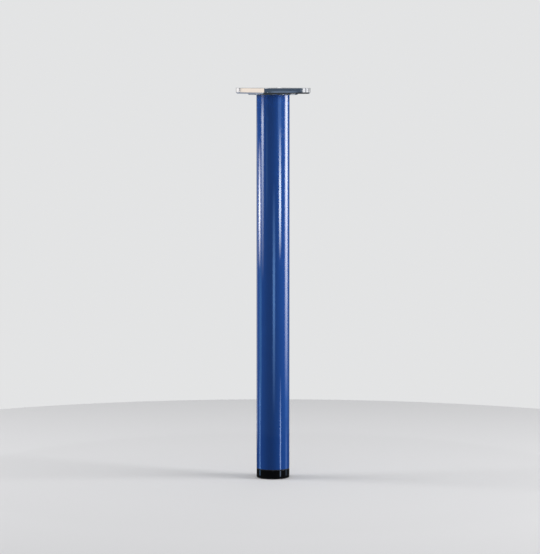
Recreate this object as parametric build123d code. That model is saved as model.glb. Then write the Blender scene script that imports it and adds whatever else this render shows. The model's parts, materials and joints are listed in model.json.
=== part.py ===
from build123d import *
from math import cos, radians, tan
import os

# Round steel table leg with a die-cast mounting plate that clamps into the tube and a levelling foot
# that screws out of it. Millimetres, +Z up. The origin is the centre of the sole on the floor, and the
# sides of the square plate are parallel to X and Y.

# ---------------------------------------------------------------- driving dimensions

# whole leg
mounting_height = 710.0  # floor to the underside of the table top, foot screwed right in
tube_diameter = 60.0
tube_wall = 1.5

# mounting plate
plate_side = 102.0
plate_corner_radius = 8.0
plate_height = 10.5
plate_web = 3.0  # thickness of the web under the ribs
plate_rim = 3.2
plate_lower_chamfer = 1.8
plate_upper_chamfer = 0.5
rib_count = 8
rib_thickness = 2.2
rib_setback = 1.2  # the ribs stop this far below the mounting face
screw_spacing = 80.0
screw_hole_diameter = 5.5
countersink_diameter = 10.6
countersink_angle = 90.0
screw_boss_diameter = 14.0
collar_diameter = 90.0
collar_height = 1.8
collar_chamfer = 1.2

# hub of the mounting plate
hub_clearance = 0.3  # radial, hub to tube
hub_depth = 34.0
hub_wall = 4.0
hub_chamfer = 1.5
clamp_drop = 17.0  # clamp axis below the collar
nose_diameter = 15.0  # threaded nose that carries the clamp screw
nose_reach = 26.0  # from the hub's outer wall inwards
nose_rib_thickness = 4.0
window_width = 16.0
window_height = 20.0
guide_thickness = 3.0
guide_length = 8.0

# clamp
jaw_fit = 0.05  # radial, jaw to tube when clamped
jaw_clearance = 0.3  # jaw to each side of its window
jaw_thickness = 14.0
jaw_groove_count = 3
jaw_groove_width = 1.2
jaw_groove_depth = 0.6
jaw_socket_depth = 2.5
clamp_screw_diameter = 8.0
clamp_screw_length = 30.0
clamp_screw_chamfer = 0.7
clamp_point_diameter = 5.5
clamp_point_length = 3.5
clamp_key_size = 4.0  # across flats
clamp_key_depth = 5.0
key_hole_diameter = 6.5
thread_clearance = 0.08  # radial, from a thread's crests to the bore that holds it
point_clearance = 0.1

# levelling foot
foot_height = 17.5  # floor to the tube's lower end
level_travel = 20.0
floor_gap = 0.8  # the cup's lip stays this far off the floor
cup_wall = 2.4
cup_deck = 3.0
cup_lower_chamfer = 1.0
cup_rib_count = 12
cup_rib_thickness = 1.8
cup_boss_wall = 3.0
shank_fit = 0.1  # radial, spindle to the cup's deck
snap_lip_height = 0.8
snap_lip_depth = 0.7

# glide and sole
glide_deck = 2.2
glide_clearance = 0.3
stud_clearance = 0.15
sole_diameter = 48.0
sole_thickness = 2.0
sole_fit = 0.1

# spindle, nut and stop clip
spindle_diameter = 10.0
spindle_chamfer = 1.0
spindle_tail = 3.0  # spindle above its stop clip
head_size = 17.0  # across flats
head_height = 6.4
nut_size = 17.0  # across flats
nut_height = 8.0
nut_recess = 0.8
hex_fit = 0.05  # on each flat, hexagons in their pockets
clip_diameter = 17.0
clip_thickness = 1.2
clip_mouth = 6.5
clip_groove_depth = 1.0
clip_fit = 0.05
stop_clearance = 0.3  # insert to stop clip with the foot screwed right out

# bottom insert
insert_flange = 1.2
insert_floor = 2.0
insert_depth = 28.0
insert_fit = 0.05  # radial, fins to tube
insert_fin_count = 12
insert_fin_thickness = 1.8
insert_fin_height = 2.6
insert_skirt_wall = 2.0
insert_boss_wall = 2.8
insert_web_count = 6
insert_web_thickness = 2.0
insert_web_setback = 4.0
insert_chamfer = 1.2
guide_clearance = 0.3  # radial, spindle to the insert's guide bore

# ---------------------------------------------------------------- places and sizes that follow

tube_radius = tube_diameter / 2
tube_bore = tube_radius - tube_wall
plate_low = mounting_height - plate_height
collar_low = plate_low - collar_height

hub_radius = tube_bore - hub_clearance
hub_bore = hub_radius - hub_wall
hub_low = collar_low - hub_depth
clamp_height = collar_low - clamp_drop

jaw_face = tube_bore - jaw_fit
jaw_back = jaw_face - jaw_thickness
screw_tip = point_clearance - jaw_back - jaw_socket_depth
screw_end = screw_tip + clamp_screw_length
clamp_bore = clamp_screw_diameter / 2 + thread_clearance

cup_top = foot_height - insert_flange
cup_ceiling = cup_top - cup_deck
cup_bore = tube_radius - cup_wall
head_low = cup_ceiling - head_height
lip_bore = cup_bore - snap_lip_depth
lip_high = floor_gap + snap_lip_height
glide_top = sole_thickness + glide_deck
head_pocket = head_size + 2 * hex_fit
nut_pocket = nut_size + 2 * hex_fit

nut_low = cup_top + nut_recess
nut_high = nut_low + nut_height
insert_top = foot_height + insert_depth
insert_radius = tube_bore - insert_fit
skirt_radius = tube_bore - insert_fin_height
guide_bore = spindle_diameter / 2 + guide_clearance
clip_low = insert_top + level_travel + stop_clearance
clip_groove = spindle_diameter / 2 - clip_groove_depth
spindle_high = clip_low + clip_thickness + spindle_tail


# ---------------------------------------------------------------- helpers


def column(radius, low, high):
    """Upright cylinder about the leg's axis, from one height to another."""
    upright = Cylinder(radius, high - low, align=(Align.CENTER, Align.CENTER, Align.MIN))
    return Pos(0, 0, low) * upright


def crossbar(radius, start, end):
    """Cylinder parallel to Y on the clamp's axis, from one Y to another."""
    bar = Cylinder(radius, end - start, align=(Align.CENTER, Align.CENTER, Align.MIN))
    return Pos(0, start, clamp_height) * Rot(-90, 0, 0) * bar


def block(x_range, y_range, z_range):
    """Box between two values on each axis."""
    size = [high - low for low, high in (x_range, y_range, z_range)]
    centre = [(high + low) / 2 for low, high in (x_range, y_range, z_range)]
    return Pos(*centre) * Box(*size)


def turned(points):
    """Solid of revolution about the leg's axis from (radius, height) points."""
    outline = make_face(Polyline([(r, 0, z) for r, z in points], close=True))
    return revolve(outline, Axis.Z)


def hexagon(across_flats, low, high):
    """Upright hexagonal prism about the leg's axis."""
    outline = RegularPolygon(across_flats / 2, 6, major_radius=False)
    return Pos(0, 0, low) * extrude(outline, high - low)


def corner_reach(across_flats):
    """Distance from a hexagon's centre to its corners."""
    return across_flats / 2 / cos(radians(30))


def spokes(count, thickness, inner, outer, low, high):
    """Radial ribs of one thickness between two radii, evenly spaced about the leg's axis."""
    rib = block((inner, outer), (-thickness / 2, thickness / 2), (low, high))
    ribs = rib
    for index in range(1, count):
        ribs += Rot(0, 0, index * 360 / count) * rib
    return ribs


def lowest_face(part):
    """The face that lies lowest on a part."""
    return part.faces().sort_by(Axis.Z)[0]


def highest_face(part):
    """The face that lies highest on a part."""
    return part.faces().sort_by(Axis.Z)[-1]


# ---------------------------------------------------------------- mounting plate


def plate_tray():
    """The square plate with its round collar, hollowed from above, with ribs and screw bosses."""
    outline = RectangleRounded(plate_side, plate_side, plate_corner_radius)
    slab = Pos(0, 0, plate_low) * extrude(outline, plate_height)
    slab = chamfer(lowest_face(slab).edges(), plate_lower_chamfer)
    slab = chamfer(highest_face(slab).edges(), plate_upper_chamfer)

    inner_side = plate_side - 2 * plate_rim
    inner_radius = max(plate_corner_radius - plate_rim, 1.0)
    inner_outline = RectangleRounded(inner_side, inner_side, inner_radius)
    hollow = Pos(0, 0, plate_low + plate_web) * extrude(inner_outline, plate_height)

    rib_high = mounting_height - rib_setback
    half_diagonal = plate_side / 2 * 2**0.5
    ribs = spokes(rib_count, rib_thickness, hub_bore, half_diagonal, plate_low, rib_high)
    hub_wall_above = column(hub_radius, plate_low, rib_high)

    collar = column(collar_diameter / 2, collar_low, plate_low)
    collar = chamfer(lowest_face(collar).edges(), min(collar_chamfer, 0.9 * collar_height))
    tray = slab - hollow + (slab & ribs) + hub_wall_above + collar
    for post in at_screws(column(screw_boss_diameter / 2, plate_low, mounting_height)):
        tray += slab & post
    return tray


def at_screws(shape):
    """Copies of a shape at the plate's four screws."""
    half = screw_spacing / 2
    return [Pos(x, y, 0) * shape for x in (-half, half) for y in (-half, half)]


def screw_holes():
    """Countersunk holes for the four wood screws, which go in from below."""
    radius = screw_hole_diameter / 2
    rim = countersink_diameter / 2
    depth = (rim - radius) / tan(radians(countersink_angle / 2))
    hole = turned(
        [
            (0, plate_low),
            (rim, plate_low),
            (radius, plate_low + depth),
            (radius, mounting_height),
            (0, mounting_height),
        ]
    )
    return at_screws(hole)


def hub():
    """The hub below the collar, with the threaded nose and the jaw's window and guides."""
    shell = column(hub_radius, hub_low, plate_low)
    shell = chamfer(lowest_face(shell).edges(), hub_chamfer)
    envelope = shell
    shell -= column(hub_bore, hub_low, plate_low)

    nose_end = hub_radius - nose_reach
    nose = crossbar(nose_diameter / 2, nose_end, hub_radius)
    half_rib = nose_rib_thickness / 2
    nose_rib = block((-half_rib, half_rib), (nose_end, hub_radius), (clamp_height, plate_low))
    shell += (nose + nose_rib) & envelope

    half_window = window_width / 2
    window_low = clamp_height - window_height / 2
    guide_end = guide_length - hub_bore
    for side in (-1, 1):
        near, far = side * half_window, side * (half_window + guide_thickness)
        guide = block(sorted((near, far)), (-hub_radius, guide_end), (window_low, plate_low))
        shell += guide & envelope

    window = block(
        (-half_window, half_window), (-tube_radius, guide_end), (window_low, window_low + window_height)
    )
    return shell - window - crossbar(clamp_bore, nose_end, tube_radius)


def mounting_plate():
    """Die-cast plate: tray, collar and hub in one piece, open through the hub's middle."""
    plate = plate_tray() - column(hub_bore, collar_low, mounting_height) + hub()
    for hole in screw_holes():
        plate -= hole
    return plate


# ---------------------------------------------------------------- clamp


def clamp_jaw():
    """Curved shoe that fills the hub's window and grips the tube from inside."""
    half_width = window_width / 2 - jaw_clearance
    half_height = window_height / 2 - jaw_clearance
    heights = (clamp_height - half_height, clamp_height + half_height)
    shoe = block((-half_width, half_width), (-tube_radius, -jaw_back), heights)
    shoe &= column(jaw_face, *heights)

    groove_floor = jaw_face - jaw_groove_depth
    pitch = 2 * half_height / (jaw_groove_count + 1)
    for index in range(jaw_groove_count):
        middle = heights[0] + (index + 1) * pitch
        low, high = middle - jaw_groove_width / 2, middle + jaw_groove_width / 2
        shoe -= column(tube_radius, low, high) - column(groove_floor, low, high)

    socket = clamp_point_diameter / 2 + point_clearance
    return shoe - crossbar(socket, -jaw_back - jaw_socket_depth, -jaw_back)


def clamp_screw():
    """Set screw with a dog point and a hexagon socket, driven along Y."""
    radius = clamp_screw_diameter / 2
    shoulder = screw_tip + clamp_point_length
    body = crossbar(radius, shoulder, screw_end)
    body = chamfer(body.edges().group_by(Axis.Y)[-1], clamp_screw_chamfer)
    point = crossbar(clamp_point_diameter / 2, screw_tip, shoulder)
    key = extrude(RegularPolygon(clamp_key_size / 2, 6, major_radius=False), clamp_key_depth)
    return body + point - Pos(0, screw_end, clamp_height) * Rot(90, 0, 0) * key


# ---------------------------------------------------------------- tube


def leg_tube():
    """Straight round tube with the key hole for the clamp screw on its +Y side."""
    tube = column(tube_radius, foot_height, collar_low) - column(tube_bore, foot_height, collar_low)
    return tube - crossbar(key_hole_diameter / 2, 0, tube_diameter)


# ---------------------------------------------------------------- bottom insert and nut


def bottom_insert():
    """Plug for the tube's lower end: flange, finned skirt, nut pocket and guide bore."""
    boss_high = nut_high + insert_boss_wall
    boss_radius = corner_reach(nut_pocket) + insert_boss_wall
    guide_radius = guide_bore + insert_boss_wall

    plug = column(tube_radius, cup_top, foot_height)
    plug += column(insert_radius, foot_height, foot_height + insert_floor)
    plug += column(skirt_radius, foot_height, insert_top)
    plug -= column(skirt_radius - insert_skirt_wall, foot_height + insert_floor, insert_top)
    plug += column(boss_radius, foot_height, boss_high) + column(guide_radius, foot_height, insert_top)
    web_reach = skirt_radius - insert_skirt_wall / 2
    web_high = insert_top - insert_web_setback
    plug += spokes(insert_web_count, insert_web_thickness, guide_bore, web_reach, foot_height, web_high)
    fins_low = foot_height + insert_floor
    plug += spokes(
        insert_fin_count, insert_fin_thickness, web_reach, insert_radius + 1, fins_low, insert_top
    ) & turned(
        [
            (0, fins_low),
            (insert_radius, fins_low),
            (insert_radius, insert_top - insert_chamfer),
            (insert_radius - insert_chamfer, insert_top),
            (0, insert_top),
        ]
    )
    return plug - hexagon(nut_pocket, cup_top, nut_high) - column(guide_bore, cup_top, insert_top)


def insert_nut():
    """Hexagon nut of the height adjustment."""
    bore = spindle_diameter / 2 + thread_clearance
    return hexagon(nut_size, nut_low, nut_high) - column(bore, nut_low, nut_high)


# ---------------------------------------------------------------- levelling foot


def foot_cup():
    """Round cup, flush with the tube, ribbed inside, with a pocket for the spindle's head."""
    cup = column(tube_radius, floor_gap, cup_top)
    cup = chamfer(lowest_face(cup).edges(), min(cup_lower_chamfer, 0.8 * cup_wall))
    cup -= column(lip_bore, floor_gap, lip_high)
    cup -= column(cup_bore, lip_high, cup_ceiling)

    boss_radius = corner_reach(head_pocket) + cup_boss_wall
    cup += column(boss_radius, glide_top, cup_ceiling)
    rib_reach = cup_bore + cup_wall / 2
    cup += spokes(cup_rib_count, cup_rib_thickness, boss_radius - 1, rib_reach, glide_top, cup_ceiling)
    cup -= hexagon(head_pocket, glide_top, cup_ceiling)
    return cup - column(spindle_diameter / 2 + shank_fit, cup_ceiling, cup_top)


def foot_spindle():
    """Hexagon-head spindle with a groove for its stop clip."""
    radius = spindle_diameter / 2
    shank = column(radius, cup_ceiling, spindle_high)
    shank = chamfer(highest_face(shank).edges(), spindle_chamfer)
    groove_low, groove_high = clip_low - clip_fit, clip_low + clip_thickness + clip_fit
    shank -= column(radius + 1, groove_low, groove_high) - column(clip_groove, groove_low, groove_high)
    return hexagon(head_size, head_low, cup_ceiling) + shank


def spindle_clip():
    """Retaining clip snapped into the spindle's groove from the side."""
    grip = clip_groove + clip_fit
    outer = clip_diameter / 2
    outline = Circle(outer) - Circle(grip) - Pos(0, -outer / 2) * Rectangle(clip_mouth, outer)
    return Pos(0, 0, clip_low) * extrude(outline, clip_thickness)


def foot_glide():
    """Disc that snaps into the cup's lip and stands still while the cup turns on its stud."""
    flange_low = lip_high + glide_clearance
    glide = column(lip_bore - glide_clearance, floor_gap, glide_top)
    glide += column(cup_bore - glide_clearance, flange_low, glide_top)
    glide -= column(sole_diameter / 2 + sole_fit, floor_gap, sole_thickness)
    return glide + column(head_pocket / 2 - stud_clearance, glide_top, head_low)


def sole_pad():
    """Soft round pad in the glide's recess."""
    return column(sole_diameter / 2, 0, sole_thickness)


# ---------------------------------------------------------------- files

pieces = {
    "mounting_plate": mounting_plate,
    "clamp_jaw": clamp_jaw,
    "clamp_screw": clamp_screw,
    "leg_tube": leg_tube,
    "bottom_insert": bottom_insert,
    "insert_nut": insert_nut,
    "foot_cup": foot_cup,
    "foot_spindle": foot_spindle,
    "spindle_clip": spindle_clip,
    "foot_glide": foot_glide,
    "sole_pad": sole_pad,
}

os.makedirs("parts", exist_ok=True)
for name, make in pieces.items():
    export_step(make(), f"parts/{name}.step")
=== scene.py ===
"""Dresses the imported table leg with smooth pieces, real finishes, a small studio and a camera.

Lengths are metres and angles radians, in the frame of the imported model: +Z up, the leg's axis on
Z, the sides of the square mounting plate parallel to X and Y.
"""

import json
import logging
import math
from dataclasses import dataclass, field
from enum import Enum
from typing import Sequence

import bmesh
import bpy
from mathutils import Matrix, Vector


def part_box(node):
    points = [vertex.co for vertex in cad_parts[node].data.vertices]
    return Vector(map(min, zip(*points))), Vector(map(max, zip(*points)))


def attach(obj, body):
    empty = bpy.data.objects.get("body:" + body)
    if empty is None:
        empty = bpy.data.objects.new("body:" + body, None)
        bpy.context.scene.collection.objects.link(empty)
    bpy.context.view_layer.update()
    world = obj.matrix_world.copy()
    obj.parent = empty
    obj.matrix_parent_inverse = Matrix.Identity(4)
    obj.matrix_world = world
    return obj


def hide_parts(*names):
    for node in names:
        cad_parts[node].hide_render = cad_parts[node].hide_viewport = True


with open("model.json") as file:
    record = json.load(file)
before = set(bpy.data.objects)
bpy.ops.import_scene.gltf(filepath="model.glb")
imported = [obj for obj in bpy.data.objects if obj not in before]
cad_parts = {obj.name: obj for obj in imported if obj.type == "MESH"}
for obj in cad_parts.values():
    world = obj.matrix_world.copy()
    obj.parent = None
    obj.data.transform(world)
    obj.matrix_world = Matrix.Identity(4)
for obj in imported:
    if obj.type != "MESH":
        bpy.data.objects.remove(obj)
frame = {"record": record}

log = logging.getLogger("table_leg")

MM = 0.001
AROUND = 128  # segments round a visible turned surface
AROUND_LARGE = 192  # segments round the tube, the collar and the cup
AROUND_SMALL = 64  # segments round bosses, holes and the nose
AROUND_HOLE = 48  # segments round the key hole and the socket of the screw's point
AROUND_TINY = 32  # segments round marks and the key's socket
THREAD_AROUND = 56  # segments round a thread
ROWS_PER_TURN = 8  # rows of points along one pitch of a thread

OVERRUN = 1 * MM  # how far a cutter runs past a face, or a form into what carries it
FINE_EDGE = 0.2 * MM  # roundings, from fine to wide
SMALL_EDGE = 0.3 * MM
EASED_EDGE = 0.4 * MM
SOFT_EDGE = 0.5 * MM
FILLET = 0.6 * MM

NO_RADIUS = 1e-7  # a point closer to the axis is a pole
SAME_POINT = 1e-7  # points of a new solid that are this close are one
SLIVER_POINT = 2e-6  # points that a cut leaves this close are one
SLIVER_EDGE = 1e-6  # shorter edges are dissolved
ROUNDED_TURN = math.radians(25)  # a prism's edges that turn by more are rounded
SHARP_TURN = math.radians(34)  # edges that turn by more stay sharp in the shading
TURNED_FLAT = 0.475  # radius of a hexagon's turned face, as a share of its width
TURNED_SLOPE = math.radians(30)
INWARD = -0.9  # share of a face's normal that points at the axis on the inside of a tube

Point = tuple[float, float]
Colour = tuple[float, float, float]
Piece = bpy.types.Object
Socket = bpy.types.NodeSocket
Material = bpy.types.Material


# ------------------------------------------------------------------ named options


class Join(Enum):
    """How a tool solid changes the solid it is applied to."""

    ADD = "UNION"
    CUT = "DIFFERENCE"
    KEEP = "INTERSECT"


class Slot(Enum):
    """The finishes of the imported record."""

    CHROME = "plated_casting"
    ZINC = "bare_zinc"
    PLATED_STEEL = "zinc_plated_steel"
    SPRING = "spring_steel"
    LACQUER = "lacquer"
    GLOSS_PLASTIC = "foot_plastic"
    PLASTIC = "moulded_plastic"
    RUBBER = "sole_rubber"


class Layout(Enum):
    """Where copies of a repeated form stand."""

    ROUND = "about the axis"
    CORNERS = "at the corners of a square"


# ------------------------------------------------------------------ outlines


@dataclass(frozen=True)
class Corner:
    """A corner of a closed outline.

    Args:
        across: distance from the axis, or the first coordinate of a plan.
        up: height, or the second coordinate of a plan.
        round: radius that rounds the corner, 0 for a sharp one.
    """

    across: float
    up: float
    round: float = 0.0


def rounded(corners: Sequence[Corner], steps: int = 4) -> list[Point]:
    """Rounds the corners of a closed outline.

    Args:
        corners: the outline's corners in order.
        steps: straight runs that make each rounding.

    Returns:
        The outline's points.
    """
    points: list[Point] = []
    count = len(corners)
    for index, corner in enumerate(corners):
        here = Vector((corner.across, corner.up))
        if corner.round <= 0:
            points.append((here.x, here.y))
            continue
        before, after = corners[index - 1], corners[(index + 1) % count]
        back = Vector((before.across, before.up)) - here
        ahead = Vector((after.across, after.up)) - here
        half = back.angle(ahead) / 2
        reach = min(corner.round / math.tan(half), 0.499 * back.length, 0.499 * ahead.length)
        radius = reach * math.tan(half)
        middle = here + (back.normalized() + ahead.normalized()).normalized() * (
            radius / math.sin(half)
        )
        start = here + back.normalized() * reach - middle
        end = here + ahead.normalized() * reach - middle
        for step in range(steps + 1):
            point = middle + start.slerp(end, step / steps) * radius
            points.append((point.x, point.y))
    return points


def rounded_square(side: float, corner: float, inset: float = 0.0, steps: int = 12) -> list[Point]:
    """Plan of a square with round corners, drawn in from its outer line by an inset.

    Args:
        side: width of the outer square.
        corner: radius of the outer corners.
        inset: how far inside the outer line the outline runs.
        steps: straight runs that make each corner.

    Returns:
        The outline's points, counter-clockwise.
    """
    middle = side / 2 - corner
    radius = corner - inset
    points: list[Point] = []
    for quarter in range(4):
        sign_x = 1 if quarter in (0, 3) else -1
        sign_y = 1 if quarter in (0, 1) else -1
        for step in range(steps + 1):
            angle = math.radians(90 * (quarter + step / steps))
            points.append(
                (
                    sign_x * middle + radius * math.cos(angle),
                    sign_y * middle + radius * math.sin(angle),
                )
            )
    return points


def corner_reach(across_flats: float, sides: int = 6) -> float:
    """Distance of a regular polygon's corners from its middle."""
    return across_flats / 2 / math.cos(math.pi / sides)


def regular_polygon(across_flats: float, sides: int = 6) -> list[Point]:
    """Plan of a regular polygon with a corner on +X.

    Args:
        across_flats: distance between opposite sides.
        sides: how many sides it has.

    Returns:
        The outline's points, counter-clockwise.
    """
    reach = corner_reach(across_flats, sides)
    turns = [math.tau * index / sides for index in range(sides)]
    return [(reach * math.cos(turn), reach * math.sin(turn)) for turn in turns]


def bar_section(radius: float, low: float, high: float) -> list[Point]:
    """Section of a plain round bar about Z."""
    return [(0, low), (radius, low), (radius, high), (0, high)]


# ------------------------------------------------------------------ solids


def new_object(name: str, data: bpy.types.ID) -> Piece:
    """Puts a mesh, a lamp or a camera in the scene as an object at the origin.

    Args:
        name: name of the object.
        data: what it shows.

    Returns:
        The new object.
    """
    piece = bpy.data.objects.new(name, data)
    bpy.context.scene.collection.objects.link(piece)
    return piece


def object_as_built(name: str, build: bmesh.types.BMesh) -> Piece:
    """Makes an object of a bmesh as it is.

    Args:
        name: name of the object and its mesh.
        build: the bmesh, which is freed.

    Returns:
        The new object.
    """
    mesh = bpy.data.meshes.new(name)
    build.to_mesh(mesh)
    build.free()
    return new_object(name, mesh)


def object_from(name: str, build: bmesh.types.BMesh) -> Piece:
    """Closes a bmesh into an object with its faces pointing outwards.

    Args:
        name: name of the object and its mesh.
        build: the bmesh, which is freed.

    Returns:
        The new object.
    """
    bmesh.ops.remove_doubles(build, verts=build.verts, dist=SAME_POINT)
    bmesh.ops.recalc_face_normals(build, faces=build.faces)
    if build.calc_volume(signed=True) < 0:
        bmesh.ops.reverse_faces(build, faces=build.faces)
    return object_as_built(name, build)


def turned(name: str, outline: Sequence[Point], around: int = AROUND) -> Piece:
    """Turns a closed outline of (radius, height) points about Z.

    Args:
        name: name of the object.
        outline: the section's points; a point with no radius becomes a pole.
        around: segments round the axis.

    Returns:
        A closed solid of revolution.
    """
    build = bmesh.new()
    rings: list[list[bmesh.types.BMVert]] = []
    for radius, height in outline:
        if radius < NO_RADIUS:
            rings.append([build.verts.new((0, 0, height))] * around)
            continue
        turns = [math.tau * index / around for index in range(around)]
        rings.append(
            [build.verts.new((radius * math.cos(t), radius * math.sin(t), height)) for t in turns]
        )
    for lower, upper in zip(rings, rings[1:] + rings[:1]):
        for index in range(around):
            after = (index + 1) % around
            corners = dict.fromkeys((lower[index], lower[after], upper[after], upper[index]))
            if len(corners) > 2:
                build.faces.new(list(corners))
    return object_from(name, build)


def stacked(name: str, layers: Sequence[tuple[Sequence[Point], float]]) -> Piece:
    """Skins outlines of equal point counts, each at its height, and closes both ends.

    Args:
        name: name of the object.
        layers: (outline, height) pairs from one end to the other.

    Returns:
        A closed solid.
    """
    build = bmesh.new()
    loops = [[build.verts.new((x, y, height)) for x, y in line] for line, height in layers]
    for lower, upper in zip(loops, loops[1:]):
        for index in range(len(lower)):
            after = (index + 1) % len(lower)
            build.faces.new((lower[index], lower[after], upper[after], upper[index]))
    build.faces.new(loops[0])
    build.faces.new(loops[-1])
    return object_from(name, build)


def prism(
    name: str, outline: Sequence[Point], low: float, high: float, edge: float = 0.0
) -> Piece:
    """Upright prism on a plan, its sharp edges rounded.

    Args:
        name: name of the object.
        outline: the plan's points.
        low: height of the lower end.
        high: height of the upper end.
        edge: radius of the rounding, 0 for sharp edges.

    Returns:
        A closed solid.
    """
    piece = stacked(name, [(outline, low), (outline, high)])
    if edge > 0:
        build = bmesh.new()
        build.from_mesh(piece.data)
        sharp = [line for line in build.edges if line.calc_face_angle(0) > ROUNDED_TURN]
        bmesh.ops.bevel(build, geom=sharp, offset=edge, segments=2, profile=0.5, affect="EDGES")
        build.to_mesh(piece.data)
        build.free()
    return piece


def block(
    name: str, across: Point, deep: Point, tall: Point, edge: float = 0.0
) -> Piece:
    """Box between two values on each axis, its edges rounded.

    Args:
        name: name of the object.
        across: its two values on X.
        deep: its two values on Y.
        tall: its two values on Z.
        edge: radius of the rounding, 0 for sharp edges.

    Returns:
        A closed solid.
    """
    plan = [
        (across[0], deep[0]),
        (across[1], deep[0]),
        (across[1], deep[1]),
        (across[0], deep[1]),
    ]
    return prism(name, plan, tall[0], tall[1], edge)


def laid_along_y(piece: Piece, height: float) -> Piece:
    """Lays an upright piece along Y, its former Z axis pointing to +Y at one height."""
    piece.data.transform(Matrix.Translation((0, 0, height)) @ Matrix.Rotation(-math.pi / 2, 4, "X"))
    return piece


def settle(piece: Piece) -> Piece:
    """Turns an object's modifiers into its mesh.

    Args:
        piece: the object.

    Returns:
        The same object with a plain mesh.
    """
    bpy.context.view_layer.update()
    depsgraph = bpy.context.evaluated_depsgraph_get()
    mesh = bpy.data.meshes.new_from_object(piece.evaluated_get(depsgraph), depsgraph=depsgraph)
    piece.modifiers.clear()
    piece.data = mesh
    mesh.name = piece.name
    return piece


def shape_with(
    piece: Piece, how: Join, *tools: Piece, keep_tools: bool = False
) -> Piece:
    """Adds solids to a piece, cuts them from it, or keeps only what lies in them.

    Args:
        piece: the solid that changes.
        how: what the tools do to it.
        tools: closed solids.
        keep_tools: whether the tools stay for another piece.

    Returns:
        The changed piece.
    """
    for tool in tools:
        step = piece.modifiers.new("shape", "BOOLEAN")
        step.operation = how.value
        step.solver = "EXACT"
        step.object = tool
        settle(piece)
        close_slivers(piece)
        if not keep_tools:
            bpy.data.objects.remove(tool)
    return piece


def close_slivers(piece: Piece) -> None:
    """Merges points that all but touch, so that the next cut finds a closed solid.

    Args:
        piece: the solid that was just cut.
    """
    build = bmesh.new()
    build.from_mesh(piece.data)
    bmesh.ops.remove_doubles(build, verts=build.verts, dist=SLIVER_POINT)
    bmesh.ops.dissolve_degenerate(build, dist=SLIVER_EDGE, edges=build.edges)
    build.to_mesh(piece.data)
    build.free()


def soften(piece: Piece, angle: float = SHARP_TURN) -> Piece:
    """Shades a piece smooth up to an angle, with flat faces kept flat.

    Args:
        piece: the finished solid.
        angle: edges that turn by more than this stay sharp.

    Returns:
        The same piece.
    """
    close_slivers(piece)
    piece.data.shade_smooth()
    piece.data.set_sharp_from_angle(angle=angle)
    weigh = piece.modifiers.new("weigh", "WEIGHTED_NORMAL")
    weigh.keep_sharp = True
    weigh.weight = 100
    return settle(piece)


# ------------------------------------------------------------------ node trees


class Board:
    """A node tree being wired."""

    def __init__(self, group: bpy.types.NodeTree) -> None:
        """Takes the tree to add nodes to."""
        self.group = group

    def node(self, kind: str, **settings: object) -> bpy.types.Node:
        """Adds a node.

        Args:
            kind: the node's type.
            settings: its properties and their values.

        Returns:
            The node.
        """
        made = self.group.nodes.new(kind)
        for setting, value in settings.items():
            setattr(made, setting, value)
        return made

    def wire(self, source: object, target: Socket) -> None:
        """Feeds a socket.

        Args:
            source: another socket, or a plain value.
            target: the socket that is fed.
        """
        if isinstance(source, Socket):
            self.group.links.new(source, target)
        else:
            target.default_value = source

    def math(self, operation: str, *values: object, clamp: bool = False) -> Socket:
        """Adds a Math node.

        Args:
            operation: what it does.
            values: sockets or numbers.
            clamp: whether the result stays between 0 and 1.

        Returns:
            The result.
        """
        made = self.node("ShaderNodeMath", operation=operation, use_clamp=clamp)
        for value, target in zip(values, made.inputs):
            self.wire(value, target)
        return made.outputs[0]

    def ramp(self, value: object, start: float, end: float) -> Socket:
        """Maps a value to a range from 0 to 1, clamped.

        Args:
            value: a socket or a number.
            start: where the result is 0.
            end: where the result is 1.

        Returns:
            The result.
        """
        made = self.node("ShaderNodeMapRange", clamp=True)
        for source, target in zip((value, start, end, 0.0, 1.0), made.inputs):
            self.wire(source, target)
        return made.outputs[0]


class Tree(Board):
    """A geometry node tree with named inputs and one geometry output."""

    def __init__(self, name: str) -> None:
        """Starts a tree with a geometry input and a geometry output.

        Args:
            name: name of the tree.
        """
        super().__init__(bpy.data.node_groups.new(name, "GeometryNodeTree"))
        self.sockets: dict[str, str] = {}
        self.add_input("Geometry", "NodeSocketGeometry")
        self.group.interface.new_socket(
            "Geometry", in_out="OUTPUT", socket_type="NodeSocketGeometry"
        )
        self.inputs = self.node("NodeGroupInput")
        self.output = self.node("NodeGroupOutput")

    def add_input(self, name: str, kind: str) -> None:
        """Adds a named input of one socket type."""
        made = self.group.interface.new_socket(name, in_out="INPUT", socket_type=kind)
        self.sockets[name] = made.identifier

    def given(self, name: str) -> Socket:
        """The socket that carries a named input."""
        return self.inputs.outputs[name]

    def close(self, geometry: Socket) -> None:
        """Makes copies real, gives them the material that comes in, and ends the tree.

        Args:
            geometry: what the tree puts out.
        """
        real = self.node("GeometryNodeRealizeInstances")
        self.wire(geometry, real.inputs[0])
        dress = self.node("GeometryNodeSetMaterial")
        self.wire(real.outputs[0], dress.inputs["Geometry"])
        self.wire(self.given("Material"), dress.inputs["Material"])
        self.wire(dress.outputs[0], self.output.inputs[0])

    def run_on(self, piece: Piece, **values: object) -> Piece:
        """Runs the tree on a piece and keeps the result as its mesh.

        Args:
            piece: the object whose mesh goes in.
            values: value of each named input.

        Returns:
            The same piece with its new mesh.
        """
        step = piece.modifiers.new("tree", "NODES")
        step.node_group = self.group
        for name, value in values.items():
            step[self.sockets[name]] = value
        return settle(piece)


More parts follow.
